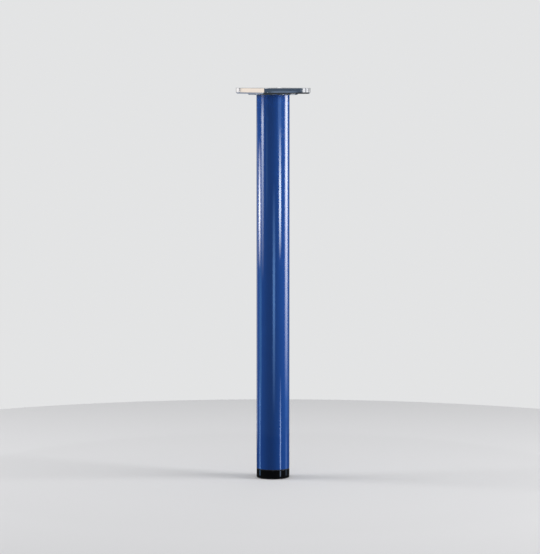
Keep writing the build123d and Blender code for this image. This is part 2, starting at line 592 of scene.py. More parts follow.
class ThreadTree(Tree):
    """Cuts a right-hand helical thread into a turned blank, along Z."""

    crest_flat = 0.16  # shares of the half pitch where the crest ends and the root begins
    root_flat = 0.86
    crest_reach = 0.02 * MM  # points this close to the crest's radius are on the crest

    def __init__(self) -> None:
        """Builds the tree, whose inputs are the thread's sizes."""
        super().__init__("thread")
        for name in ("Low", "High", "Pitch", "Depth", "Crest"):
            self.add_input(name, "NodeSocketFloat")
        self.add_input("Material", "NodeSocketMaterial")
        split = self.node("ShaderNodeSeparateXYZ")
        self.wire(self.node("GeometryNodeInputPosition").outputs[0], split.inputs[0])
        x, y, z = split.outputs
        squares = self.math("ADD", self.math("MULTIPLY", x, x), self.math("MULTIPLY", y, y))
        radius = self.math("SQRT", squares)
        turn = self.math("DIVIDE", self.math("ARCTAN2", y, x), math.tau)
        phase = self.math(
            "FRACT", self.math("SUBTRACT", self.math("DIVIDE", z, self.given("Pitch")), turn)
        )
        ramp = self.math("ABSOLUTE", self.math("SUBTRACT", self.math("MULTIPLY", phase, 2), 1))
        flank = self.ramp(ramp, self.crest_flat, self.root_flat)
        above = self.math("SUBTRACT", z, self.given("Low"))
        run_in = self.math("DIVIDE", above, self.given("Pitch"))
        below = self.math("SUBTRACT", self.given("High"), z)
        run_out = self.math("DIVIDE", below, self.given("Pitch"))
        fade = self.math("MINIMUM", run_in, run_out)
        fade = self.ramp(fade, 0.0, 1.0)
        on_crest = self.math("COMPARE", radius, self.given("Crest"), self.crest_reach)
        depth = self.math("MULTIPLY", self.given("Depth"), flank)
        shift = self.math("MULTIPLY", self.math("MULTIPLY", depth, fade), on_crest)
        inwards = self.math("MULTIPLY", self.math("DIVIDE", shift, radius), -1)
        offset = self.node("ShaderNodeCombineXYZ")
        self.wire(self.math("MULTIPLY", x, inwards), offset.inputs[0])
        self.wire(self.math("MULTIPLY", y, inwards), offset.inputs[1])
        move = self.node("GeometryNodeSetPosition")
        self.wire(self.given("Geometry"), move.inputs["Geometry"])
        self.wire(offset.outputs[0], move.inputs["Offset"])
        self.close(move.outputs[0])


class PatternTree(Tree):
    """Repeats one form about the axis, or at the corners of a square."""

    def __init__(self, layout: Layout) -> None:
        """Builds the tree.

        Args:
            layout: where the copies stand.
        """
        super().__init__(f"pattern_{layout.name.lower()}")
        self.add_input("Form", "NodeSocketObject")
        self.add_input("Material", "NodeSocketMaterial")
        form = self.node("GeometryNodeObjectInfo")
        self.wire(self.given("Form"), form.inputs["Object"])
        place = self.node("GeometryNodeInstanceOnPoints")
        self.wire(form.outputs["Geometry"], place.inputs["Instance"])
        if layout is Layout.ROUND:
            self.add_input("Count", "NodeSocketInt")
            self.add_input("Start", "NodeSocketFloat")
            points = self.node("GeometryNodePoints")
            self.wire(self.given("Count"), points.inputs["Count"])
            self.wire(points.outputs[0], place.inputs["Points"])
            share = self.math("DIVIDE", math.tau, self.given("Count"))
            angle = self.math("MULTIPLY", self.node("GeometryNodeInputIndex").outputs[0], share)
            turn = self.node("ShaderNodeCombineXYZ")
            self.wire(self.math("ADD", angle, self.given("Start")), turn.inputs[2])
            self.wire(turn.outputs[0], place.inputs["Rotation"])
        else:
            self.add_input("Spacing", "NodeSocketFloat")
            grid = self.node("GeometryNodeMeshGrid")
            self.wire(self.given("Spacing"), grid.inputs["Size X"])
            self.wire(self.given("Spacing"), grid.inputs["Size Y"])
            self.wire(2, grid.inputs["Vertices X"])
            self.wire(2, grid.inputs["Vertices Y"])
            self.wire(grid.outputs["Mesh"], place.inputs["Points"])
        self.close(place.outputs[0])

    def repeat(
        self, form: Piece, material: Material, **values: object
    ) -> Piece:
        """Repeats a form and removes the single one.

        Args:
            form: the solid to repeat.
            material: finish of the copies.
            values: the layout's own inputs.

        Returns:
            One object that holds all the copies.
        """
        holder = new_object(f"{form.name}_set", bpy.data.meshes.new(form.name))
        self.run_on(holder, Form=form, Material=material, **values)
        bpy.data.objects.remove(form)
        return holder


# ------------------------------------------------------------------ shader node groups


class Effect(Board):
    """A shader node group with named inputs and outputs."""

    def __init__(self, name: str, inputs: dict[str, float | None], outputs: Sequence[str]) -> None:
        """Starts the group.

        Args:
            name: name of the group.
            inputs: each input's default, None for a vector.
            outputs: names of the values that it puts out.
        """
        super().__init__(bpy.data.node_groups.new(name, "ShaderNodeTree"))
        for label, default in inputs.items():
            kind = "NodeSocketVector" if default is None else "NodeSocketFloat"
            made = self.group.interface.new_socket(label, in_out="INPUT", socket_type=kind)
            if default is not None:
                made.default_value = default
        for label in outputs:
            self.group.interface.new_socket(label, in_out="OUTPUT", socket_type="NodeSocketFloat")
        self.inputs = self.node("NodeGroupInput").outputs
        self.outputs = self.node("NodeGroupOutput").inputs

    def noise(
        self, vector: object, scale: object, detail: float = 2.0, roughness: float = 0.5
    ) -> Socket:
        """Adds a noise texture.

        Args:
            vector: where it is read.
            scale: how fine it is.
            detail: how many finer layers it has.
            roughness: how strong they are.

        Returns:
            Its value.
        """
        made = self.node("ShaderNodeTexNoise")
        self.wire(vector, made.inputs["Vector"])
        self.wire(scale, made.inputs["Scale"])
        self.wire(detail, made.inputs["Detail"])
        self.wire(roughness, made.inputs["Roughness"])
        return made.outputs[0]


def ripple_effect() -> Effect:
    """Long and short waves of a sprayed, plated or moulded skin, as a height.

    Returns:
        The group.
    """
    finer = 4.3  # how much finer the short waves are
    group = Effect("skin_ripple", {"Vector": None, "Scale": 300.0, "Fine Share": 0.3}, ["Height"])
    vector, scale, share = group.inputs[0], group.inputs[1], group.inputs[2]
    long_waves = group.noise(vector, scale, 1.0)
    short_waves = group.noise(vector, group.math("MULTIPLY", scale, finer), 1.0)
    height = group.math("ADD", long_waves, group.math("MULTIPLY", short_waves, share))
    group.wire(height, group.outputs[0])
    return group


def mottle_effect() -> Effect:
    """Cloudy variation between two values, such as of a roughness.

    Returns:
        The group.
    """
    dim, bright = 0.32, 0.68  # what the noise seldom leaves
    group = Effect("mottle", {"Vector": None, "Scale": 40.0, "Low": 0.2, "High": 0.3}, ["Value"])
    clouds = group.ramp(group.noise(group.inputs[0], group.inputs[1], 4.0, 0.6), dim, bright)
    span = group.math("SUBTRACT", group.inputs[3], group.inputs[2])
    value = group.math("ADD", group.math("MULTIPLY", clouds, span), group.inputs[2])
    group.wire(value, group.outputs[0])
    return group


def grain_effect() -> Effect:
    """Pebbled grain of eroded moulds, castings and rubber, as a height.

    Returns:
        The group.
    """
    coarser = 0.11  # scale of the patches as a share of the pebbles'
    group = Effect("grain", {"Vector": None, "Scale": 2500.0, "Patch": 0.3}, ["Height"])
    cells = group.node("ShaderNodeTexVoronoi", feature="SMOOTH_F1")
    group.wire(group.inputs[0], cells.inputs["Vector"])
    group.wire(group.inputs[1], cells.inputs["Scale"])
    slow = group.noise(group.inputs[0], group.math("MULTIPLY", group.inputs[1], coarser), 3.0)
    height = group.math("ADD", cells.outputs[0], group.math("MULTIPLY", slow, group.inputs[2]))
    group.wire(height, group.outputs[0])
    return group


def wear_effect() -> Effect:
    """Mask of rubbed edges, from how far a rounded normal leaves the surface's own.

    Returns:
        The group.
    """
    barely, fully = 0.99, 0.86  # cosines of the turn where the wear starts and is full
    group = Effect("edge_wear", {"Vector": None, "Width": 0.0004, "Amount": 1.0}, ["Mask"])
    bevel = group.node("ShaderNodeBevel", samples=4)
    group.wire(group.inputs[1], bevel.inputs["Radius"])
    facing = group.node("ShaderNodeNewGeometry")
    apart = group.node("ShaderNodeVectorMath", operation="DOT_PRODUCT")
    group.wire(bevel.outputs[0], apart.inputs[0])
    group.wire(facing.outputs["Normal"], apart.inputs[1])
    edge = group.ramp(apart.outputs["Value"], barely, fully)
    patches = group.ramp(group.noise(group.inputs[0], 420.0, 3.0), 0.38, 0.6)
    rubbed = group.math("MULTIPLY", edge, patches)
    mask = group.math("MULTIPLY", rubbed, group.inputs[2], clamp=True)
    group.wire(mask, group.outputs[0])
    return group


def dust_effect() -> Effect:
    """Mask of fine dust that lies on upward faces and gathers near the floor.

    Returns:
        The group.
    """
    steepest = 0.55  # upward share of the normal below which no dust lies
    floor_share = 0.5  # dust on upright faces at the floor, against upward ones
    group = Effect("dust", {"Vector": None, "Reach": 0.05, "Amount": 0.3}, ["Mask"])
    split = group.node("ShaderNodeSeparateXYZ")
    group.wire(group.inputs[0], split.inputs[0])
    low = group.math("SUBTRACT", 1.0, group.ramp(split.outputs[2], 0.0, group.inputs[1]))
    facing = group.node("ShaderNodeSeparateXYZ")
    group.wire(group.node("ShaderNodeNewGeometry").outputs["Normal"], facing.inputs[0])
    upward = group.ramp(facing.outputs[2], steepest, 1.0)
    specks = group.ramp(group.noise(group.inputs[0], 900.0, 6.0, 0.7), 0.45, 0.75)
    clouds = group.ramp(group.noise(group.inputs[0], 60.0, 3.0), 0.3, 0.7)
    lying = group.math("MAXIMUM", group.math("MULTIPLY", low, floor_share), upward)
    mask = group.math("MULTIPLY", group.math("MULTIPLY", specks, clouds), lying)
    group.wire(group.math("MULTIPLY", mask, group.inputs[2], clamp=True), group.outputs[0])
    return group


def scratch_effect() -> Effect:
    """Sparse hairline scratches that run along Z or round the axis.

    Returns:
        The group.
    """
    along, around = (1.0, 1.0, 0.03), (0.05, 0.05, 1.0)  # how the noise is stretched
    thin = 0.012  # half the width of a line, in the noise's own values
    group = Effect("hairlines", {"Vector": None, "Scale": 400.0, "Amount": 0.5}, ["Mask"])
    lines = []
    for stretch in (along, around):
        mapping = group.node("ShaderNodeMapping")
        group.wire(group.inputs[0], mapping.inputs["Vector"])
        mapping.inputs["Scale"].default_value = stretch
        value = group.noise(mapping.outputs[0], group.inputs[1], 2.0)
        apart = group.math("ABSOLUTE", group.math("SUBTRACT", value, 0.5))
        lines.append(group.ramp(apart, thin, 0.0))
    patches = group.ramp(group.noise(group.inputs[0], 35.0, 2.0), 0.5, 0.75)
    either = group.math("MAXIMUM", lines[0], lines[1])
    mask = group.math("MULTIPLY", group.math("MULTIPLY", either, patches), group.inputs[2])
    group.wire(mask, group.outputs[0])
    return group


def turning_effect() -> Effect:
    """Fine tool lines of a turned or rolled surface about Z, as a height.

    Returns:
        The group.
    """
    wander = 0.6 * MM  # how far the lines drift
    group = Effect("tool_lines", {"Vector": None, "Pitch": 0.00025}, ["Height"])
    split = group.node("ShaderNodeSeparateXYZ")
    group.wire(group.inputs[0], split.inputs[0])
    x, y, z = split.outputs
    squares = group.math("ADD", group.math("MULTIPLY", x, x), group.math("MULTIPLY", y, y))
    along = group.math("ADD", group.math("SQRT", squares), z)
    drift = group.math("MULTIPLY", group.noise(group.inputs[0], 200.0, 2.0), wander)
    phase = group.math("DIVIDE", group.math("ADD", along, drift), group.inputs[1])
    group.wire(group.math("SINE", group.math("MULTIPLY", phase, math.tau)), group.outputs[0])
    return group


# ------------------------------------------------------------------ finishes


class Surface(Board):
    """A material with one Principled shader, on Object coordinates."""

    def __init__(self, name: str, colour: Sequence[float]) -> None:
        """Starts a material of one base colour.

        Args:
            name: name of the material.
            colour: base colour, linear.
        """
        self.material = bpy.data.materials.new(name)
        self.material.use_nodes = True
        super().__init__(self.material.node_tree)
        self.shader = self.group.nodes["Principled BSDF"]
        self.colour = tuple(colour[:3]) + (1.0,)
        self.shader.inputs["Base Color"].default_value = self.colour
        self.place = self.node("ShaderNodeTexCoord").outputs["Object"]

    def set(self, **values: float) -> None:
        """Sets plain values on the shader's sockets, named with underscores for spaces."""
        for name, value in values.items():
            self.shader.inputs[name.replace("_", " ")].default_value = value

    def use(self, effect: Effect, **values: float) -> Socket:
        """Places a group on Object coordinates and returns its first output.

        Args:
            effect: the group.
            values: its inputs, named with underscores for spaces.

        Returns:
            Its first output.
        """
        made = self.node("ShaderNodeGroup", node_tree=effect.group)
        self.wire(self.place, made.inputs["Vector"])
        for name, value in values.items():
            made.inputs[name.replace("_", " ")].default_value = value
        return made.outputs[0]

    def tint(self, mask: Socket, colour: Sequence[float], share: float = 1.0) -> None:
        """Blends a colour over the base colour by a mask.

        Args:
            mask: where the colour goes.
            colour: the colour, linear.
            share: how much of it a full mask lays on.
        """
        blend = self.node("ShaderNodeMix", data_type="RGBA")
        self.wire(self.math("MULTIPLY", mask, share), blend.inputs[0])
        feed = self.shader.inputs["Base Color"]
        if feed.is_linked:
            self.wire(feed.links[0].from_socket, blend.inputs[6])
        else:
            blend.inputs[6].default_value = feed.default_value
        blend.inputs[7].default_value = tuple(colour[:3]) + (1.0,)
        self.wire(blend.outputs[2], feed)

    def cloud_tint(
        self, effects: "Effects", scale: float, most: float, colour: Sequence[float]
    ) -> None:
        """Blends a colour over the base colour in soft clouds.

        Args:
            effects: the shared groups.
            scale: how fine the clouds are.
            most: share of the colour where they are thickest.
            colour: the colour, linear.
        """
        self.tint(self.use(effects.mottle, Scale=scale, Low=0.0, High=most), colour)

    def cloud_roughness(self, effects: "Effects", scale: float, low: float, high: float) -> None:
        """Lets the roughness drift between two values in soft clouds.

        Args:
            effects: the shared groups.
            scale: how fine the clouds are.
            low: the lowest roughness.
            high: the highest roughness.
        """
        clouds = self.use(effects.mottle, Scale=scale, Low=low, High=high)
        self.wire(clouds, self.shader.inputs["Roughness"])

    def roughen(self, mask: Socket, by: float) -> None:
        """Adds to the roughness where a mask is set."""
        feed = self.shader.inputs["Roughness"]
        now = feed.links[0].from_socket if feed.is_linked else feed.default_value
        self.wire(self.math("ADD", now, self.math("MULTIPLY", mask, by), clamp=True), feed)

    def bump(self, height: Socket, depth: float, strength: float = 1.0) -> None:
        """Raises the surface by a height of some depth in metres, over any earlier bump.

        Args:
            height: the height, from 0 to 1.
            depth: metres that a height of 1 stands for.
            strength: share of the bump that shows.
        """
        made = self.node("ShaderNodeBump")
        made.inputs["Strength"].default_value = strength
        made.inputs["Distance"].default_value = depth
        self.wire(height, made.inputs["Height"])
        feed = self.shader.inputs["Normal"]
        if feed.is_linked:
            self.wire(feed.links[0].from_socket, made.inputs["Normal"])
        self.wire(made.outputs[0], feed)


@dataclass(frozen=True)
class Effects:
    """The shared shader groups, each built once."""

    ripple: Effect = field(default_factory=ripple_effect)
    mottle: Effect = field(default_factory=mottle_effect)
    grain: Effect = field(default_factory=grain_effect)
    wear: Effect = field(default_factory=wear_effect)
    dust: Effect = field(default_factory=dust_effect)
    hairlines: Effect = field(default_factory=scratch_effect)
    tool_lines: Effect = field(default_factory=turning_effect)


def slot_colour(slot: Slot) -> tuple[float, ...]:
    """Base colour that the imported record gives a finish.

    Args:
        slot: the finish.

    Returns:
        The colour, linear.
    """
    for entry in frame["record"]["materials"]:
        if entry["slot"] == slot.value:
            return tuple(entry["base_color"][:3])
    raise KeyError(slot.value)


@dataclass(frozen=True)
class LacquerFinish:
    """High-gloss lacquer on steel tube: an even colour under a clear, faintly rippled skin."""

    pigment_scale: float = 26.0
    peel_scale: float = 420.0
    peel_depth: float = 0.00000022
    coat_roughness: float = 0.03
    pigment: Colour = (0.014, 0.086, 0.39)
    deep: Colour = (0.011, 0.066, 0.32)
    dust: Colour = (0.35, 0.34, 0.32)

    def make(self, effects: Effects) -> Material:
        """Builds the material.

        Args:
            effects: the shared groups.

        Returns:
            The material.
        """
        surface = Surface("lacquer_gloss", self.pigment)
        surface.set(Coat_Weight=1.0, Coat_Roughness=self.coat_roughness, Coat_IOR=1.55)
        surface.cloud_tint(effects, self.pigment_scale, 0.25, self.deep)
        surface.cloud_roughness(effects, 70.0, 0.12, 0.18)
        surface.tint(surface.use(effects.dust, Reach=0.12, Amount=0.25), self.dust, 0.4)
        surface.roughen(surface.use(effects.hairlines, Scale=300.0, Amount=0.6), 0.2)
        surface.bump(
            surface.use(effects.ripple, Scale=self.peel_scale, Fine_Share=0.25), self.peel_depth
        )
        return surface.material


@dataclass(frozen=True)
class TubeInsideFinish:
    """Mill-finished inside of welded tube, with scale, oil film and lacquer mist at its upper end.
    """

    steel: Colour = (0.22, 0.22, 0.23)
    scale_tint: Colour = (0.07, 0.068, 0.066)
    mist_reach: float = 0.03

    def make(self, effects: Effects, top: float) -> Material:
        """Builds the material.

        Args:
            effects: the shared groups.
            top: height of the tube's upper end.

        Returns:
            The material.
        """
        surface = Surface("tube_inside_mill", self.steel)
        surface.set(Metallic=0.85)
        surface.cloud_tint(effects, 55.0, 0.9, self.scale_tint)
        split = surface.node("ShaderNodeSeparateXYZ")
        surface.wire(surface.place, split.inputs[0])
        mist = surface.ramp(split.outputs[2], top - self.mist_reach, top)
        surface.tint(mist, slot_colour(Slot.LACQUER), 0.8)
        surface.cloud_roughness(effects, 120.0, 0.3, 0.55)
        surface.bump(surface.use(effects.grain, Scale=1500.0, Patch=1.5), 0.00001)
        return surface.material


@dataclass(frozen=True)
class ChromeFinish:
    """Bright chrome plating over a polished die casting."""

    low: float = 0.03
    high: float = 0.06
    haze: Colour = (0.62, 0.63, 0.66)
    dust: Colour = (0.4, 0.39, 0.37)
    wave_scale: float = 90.0
    wave_depth: float = 0.0000015

    def make(self, effects: Effects) -> Material:
        """Builds the material.

        Args:
            effects: the shared groups.

        Returns:
            The material.
        """
        surface = Surface("chrome_plating", slot_colour(Slot.CHROME))
        surface.set(Metallic=1.0)
        surface.cloud_roughness(effects, 60.0, self.low, self.high)
        surface.cloud_tint(effects, 22.0, 0.25, self.haze)
        surface.tint(surface.use(effects.dust, Reach=0.01, Amount=0.3), self.dust, 0.5)
        surface.roughen(surface.use(effects.hairlines, Scale=500.0, Amount=0.6), 0.15)
        waves = surface.use(effects.ripple, Scale=self.wave_scale, Fine_Share=0.2)
        surface.bump(waves, self.wave_depth)
        return surface.material


@dataclass(frozen=True)
class BareZincFinish:
    """Tumbled die-cast zinc, dull with rubbed edges."""

    rubbed: Colour = (0.74, 0.74, 0.75)
    dull: Colour = (0.36, 0.36, 0.37)

    def make(self, effects: Effects) -> Material:
        """Builds the material.

        Args:
            effects: the shared groups.

        Returns:
            The material.
        """
        surface = Surface("zinc_casting", slot_colour(Slot.ZINC))
        surface.set(Metallic=0.95)
        surface.cloud_tint(effects, 160.0, 0.7, self.dull)
        surface.tint(surface.use(effects.wear, Width=0.0005, Amount=0.9), self.rubbed)
        surface.cloud_roughness(effects, 220.0, 0.34, 0.52)
        surface.bump(surface.use(effects.grain, Scale=2200.0, Patch=1.0), 0.00002)
        return surface.material


@dataclass(frozen=True)
class PlatedSteelFinish:
    """Bright zinc plating on turned and rolled steel, with its faint yellow and blue cast."""

    name: str = "zinc_plating"
    warm: Colour = (0.72, 0.66, 0.5)
    cool: Colour = (0.52, 0.58, 0.68)

    def make(self, effects: Effects) -> Material:
        """Builds the material.

        Args:
            effects: the shared groups.

        Returns:
            The material.
        """
        surface = Surface(self.name, slot_colour(Slot.PLATED_STEEL))
        surface.set(Metallic=1.0)
        surface.cloud_tint(effects, 130.0, 0.45, self.warm)
        surface.cloud_tint(effects, 75.0, 0.4, self.cool)
        surface.cloud_roughness(effects, 300.0, 0.2, 0.34)
        surface.bump(surface.use(effects.tool_lines, Pitch=0.0003), 0.000004)
        return surface.material


@dataclass(frozen=True)
class SpringSteelFinish:
    """Black-oxidised spring steel, rubbed to metal at its edges."""

    rubbed: Colour = (0.45, 0.45, 0.46)

    def make(self, effects: Effects) -> Material:
        """Builds the material.

        Args:
            effects: the shared groups.

        Returns:
            The material.
        """
        surface = Surface("spring_steel_black", slot_colour(Slot.SPRING))
        surface.set(Metallic=0.8)
        surface.tint(surface.use(effects.wear, Width=0.0002, Amount=0.8), self.rubbed)
        surface.cloud_roughness(effects, 400.0, 0.35, 0.5)
        surface.bump(surface.use(effects.grain, Scale=4000.0, Patch=0.5), 0.000006)
        return surface.material


@dataclass(frozen=True)
class GlossPlasticFinish:
    """Polished black moulding, with faint flow waves, hairlines and dust by the floor."""

    pigment: Colour = (0.004, 0.004, 0.0045)
    dust: Colour = (0.12, 0.118, 0.11)
    wave_scale: float = 160.0
    wave_depth: float = 0.000001

    def make(self, effects: Effects) -> Material:
        """Builds the material.

        Args:
            effects: the shared groups.

        Returns:
            The material.
        """
        surface = Surface("foot_moulding_gloss", self.pigment)
        surface.set(IOR=1.46)
        surface.cloud_roughness(effects, 90.0, 0.05, 0.1)
        surface.tint(surface.use(effects.dust, Reach=0.004, Amount=0.3), self.dust, 0.2)
        surface.roughen(surface.use(effects.hairlines, Scale=450.0, Amount=0.8), 0.2)
        waves = surface.use(effects.ripple, Scale=self.wave_scale, Fine_Share=0.2)
        surface.bump(waves, self.wave_depth)
        return surface.material


@dataclass(frozen=True)
class MouldedPlasticFinish:
    """Black plastic from a spark-eroded mould."""

    bloom: Colour = (0.045, 0.045, 0.047)
    rubbed: Colour = (0.09, 0.09, 0.09)

    def make(self, effects: Effects) -> Material:
        """Builds the material.

        Args:
            effects: the shared groups.

        Returns:
            The material.
        """
        surface = Surface("moulding_matt", slot_colour(Slot.PLASTIC))
        surface.cloud_tint(effects, 45.0, 0.6, self.bloom)
        surface.cloud_roughness(effects, 150.0, 0.42, 0.56)
        surface.tint(surface.use(effects.wear, Width=0.0004, Amount=0.6), self.rubbed)
        surface.bump(surface.use(effects.grain, Scale=2600.0, Patch=0.4), 0.000015)
        return surface.material


@dataclass(frozen=True)
class RubberFinish:
    """Soft non-slip sole, slightly dusty."""

    bloom: Colour = (0.085, 0.083, 0.08)
    dust: Colour = (0.3, 0.29, 0.27)

    def make(self, effects: Effects) -> Material:
        """Builds the material.

        Args:
            effects: the shared groups.

        Returns:
            The material.
        """
        surface = Surface("sole_rubber", slot_colour(Slot.RUBBER))
        surface.cloud_tint(effects, 80.0, 0.8, self.bloom)
        surface.cloud_roughness(effects, 200.0, 0.72, 0.88)
        surface.tint(surface.use(effects.dust, Reach=0.004, Amount=0.6), self.dust, 0.3)
        surface.bump(surface.use(effects.grain, Scale=1800.0, Patch=0.8), 0.00004)
        return surface.material


class Workshop:
    """The trees and finishes that the sub-assemblies share, each built once."""

    def __init__(self) -> None:
        """Builds every tree, group and material."""
        effects = Effects()
        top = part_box("leg_tube")[1].z
        self.thread = ThreadTree()
        self.round = PatternTree(Layout.ROUND)
        self.corners = PatternTree(Layout.CORNERS)
        self.tube_inside = TubeInsideFinish().make(effects, top)
        self.finish: dict[Slot, Material] = {
            Slot.LACQUER: LacquerFinish().make(effects),
            Slot.CHROME: ChromeFinish().make(effects),
            Slot.ZINC: BareZincFinish().make(effects),
            Slot.PLATED_STEEL: PlatedSteelFinish().make(effects),
            Slot.SPRING: SpringSteelFinish().make(effects),
            Slot.GLOSS_PLASTIC: GlossPlasticFinish().make(effects),
            Slot.PLASTIC: MouldedPlasticFinish().make(effects),
            Slot.RUBBER: RubberFinish().make(effects),
        }

    def threaded(
        self,
        name: str,
        outline: Sequence[Point],
        span: Point,
        pitch: float,
        depth: float,
        slot: Slot = Slot.PLATED_STEEL,
    ) -> Piece:
        """Turns a blank and cuts a thread into it.

        Args:
            name: name of the object.
            outline: the blank's section; the widest straight run in the span carries the thread.
            span: heights between which the thread runs.
            pitch: the thread's pitch.
            depth: depth of the thread.
            slot: the blank's finish.

        Returns:
            The threaded solid.
        """
        low, high = span
        crest = max(radius for radius, _ in outline)
        rows = math.ceil((high - low) / pitch * ROWS_PER_TURN)
        points: list[Point] = []
        for here, after in zip(outline, [*outline[1:], outline[0]]):
            points.append(here)
            below, above = sorted((here[1], after[1]))
            if here[0] == after[0] == crest and below <= low and high <= above:
                first, last = (low, high) if after[1] > here[1] else (high, low)
                heights = [first + (last - first) * row / rows for row in range(rows + 1)]
                points += [(crest, z) for z in heights if below < z < above]
        blank = turned(name, points, THREAD_AROUND)
        return self.thread.run_on(
            blank,
            Low=low,
            High=high,
            Pitch=pitch,
            Depth=depth,
            Crest=crest,
            Material=self.finish[slot],
        )

    def hand_over(
        self,
        piece: Piece,
        node: str,
        slot: Slot,
        body: str,
        inside: Material | None = None,
    ) -> Piece:
        """Gives a finished solid its material and its place in the frame.

        Args:
            piece: the solid.
            node: the CAD node that it stands for.
            slot: its finish.
            body: the CAD body that it rides on.
            inside: finish of the faces that look towards the axis, where it has one.

        Returns:
            The same piece.
        """
        soften(piece)
        piece.data.materials.clear()
        piece.data.materials.append(self.finish[slot])
        if inside is not None:
            piece.data.materials.append(inside)
        for face in piece.data.polygons:
            outward = face.normal.x * face.center.x + face.normal.y * face.center.y
            inwards = outward < INWARD * face.center.xy.length
            face.material_index = int(inside is not None and inwards)
        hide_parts(node)
        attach(piece, body)
        faces = len(piece.data.polygons)
        log.info("%s: %d faces, stands for %s on %s", piece.name, faces, node, body)
        return piece


# ------------------------------------------------------------------ tube


@dataclass(frozen=True)
class LegTube:
    """Straight welded tube with rounded lacquered ends and the key hole of the clamp screw."""

    wall: float = 1.5 * MM
    end_round: float = 0.45 * MM
    key_hole: float = 6.5 * MM
    key_hole_lip: float = 0.5 * MM
    weld_height: float = 0.35 * MM
    weld_half_width: float = 1.6 * MM
    weld_angle: float = math.radians(200)

    def lay_weld(self, tube: Piece, bore: float) -> None:
        """Raises the bead of the longitudinal weld along the bore.

        Args:
            tube: the turned tube.
            bore: radius of its bore.
        """
        for vertex in tube.data.vertices:
            radius = vertex.co.xy.length
            apart = math.atan2(vertex.co.y, vertex.co.x) - self.weld_angle
            apart = abs(math.remainder(apart, math.tau)) * radius / self.weld_half_width
            if radius < bore + 0.1 * MM and apart < 1:
                rise = self.weld_height * 0.5 * (1 + math.cos(math.pi * apart))
                vertex.co.xy *= (radius - rise) / radius

    def build(self, shop: Workshop, key_height: float) -> Piece:
        """Builds the tube.

        Args:
            shop: trees and finishes.
            key_height: height of the clamp screw's axis.

        Returns:
            The dressed tube.
        """
        low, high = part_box("leg_tube")
        outer, bore = high.x, high.x - self.wall
        outline = rounded(
            [
                Corner(bore, low.z, self.end_round),
                Corner(outer, low.z, self.end_round),
                Corner(outer, high.z, self.end_round),
                Corner(bore, high.z, self.end_round),
            ]
        )
        tube = turned("tube_lacquered", outline, AROUND_LARGE)
        self.lay_weld(tube, bore)
        radius, lip = self.key_hole / 2, self.key_hole_lip
        cutter = turned(
            "key_hole_cutter",
            [
                (0, bore - 3 * MM),
                (radius, bore - 3 * MM),
                (radius, outer - lip),
                (radius + 0.25 * lip, outer - 0.45 * lip),
                (radius + lip, outer + 0.1 * MM),
                (radius + lip, outer + 2 * MM),
                (0, outer + 2 * MM),
            ],
            AROUND_HOLE,
        )
        shape_with(tube, Join.CUT, laid_along_y(cutter, key_height))
        return shop.hand_over(tube, "leg_tube", Slot.LACQUER, "leg", shop.tube_inside)


# ------------------------------------------------------------------ mounting plate


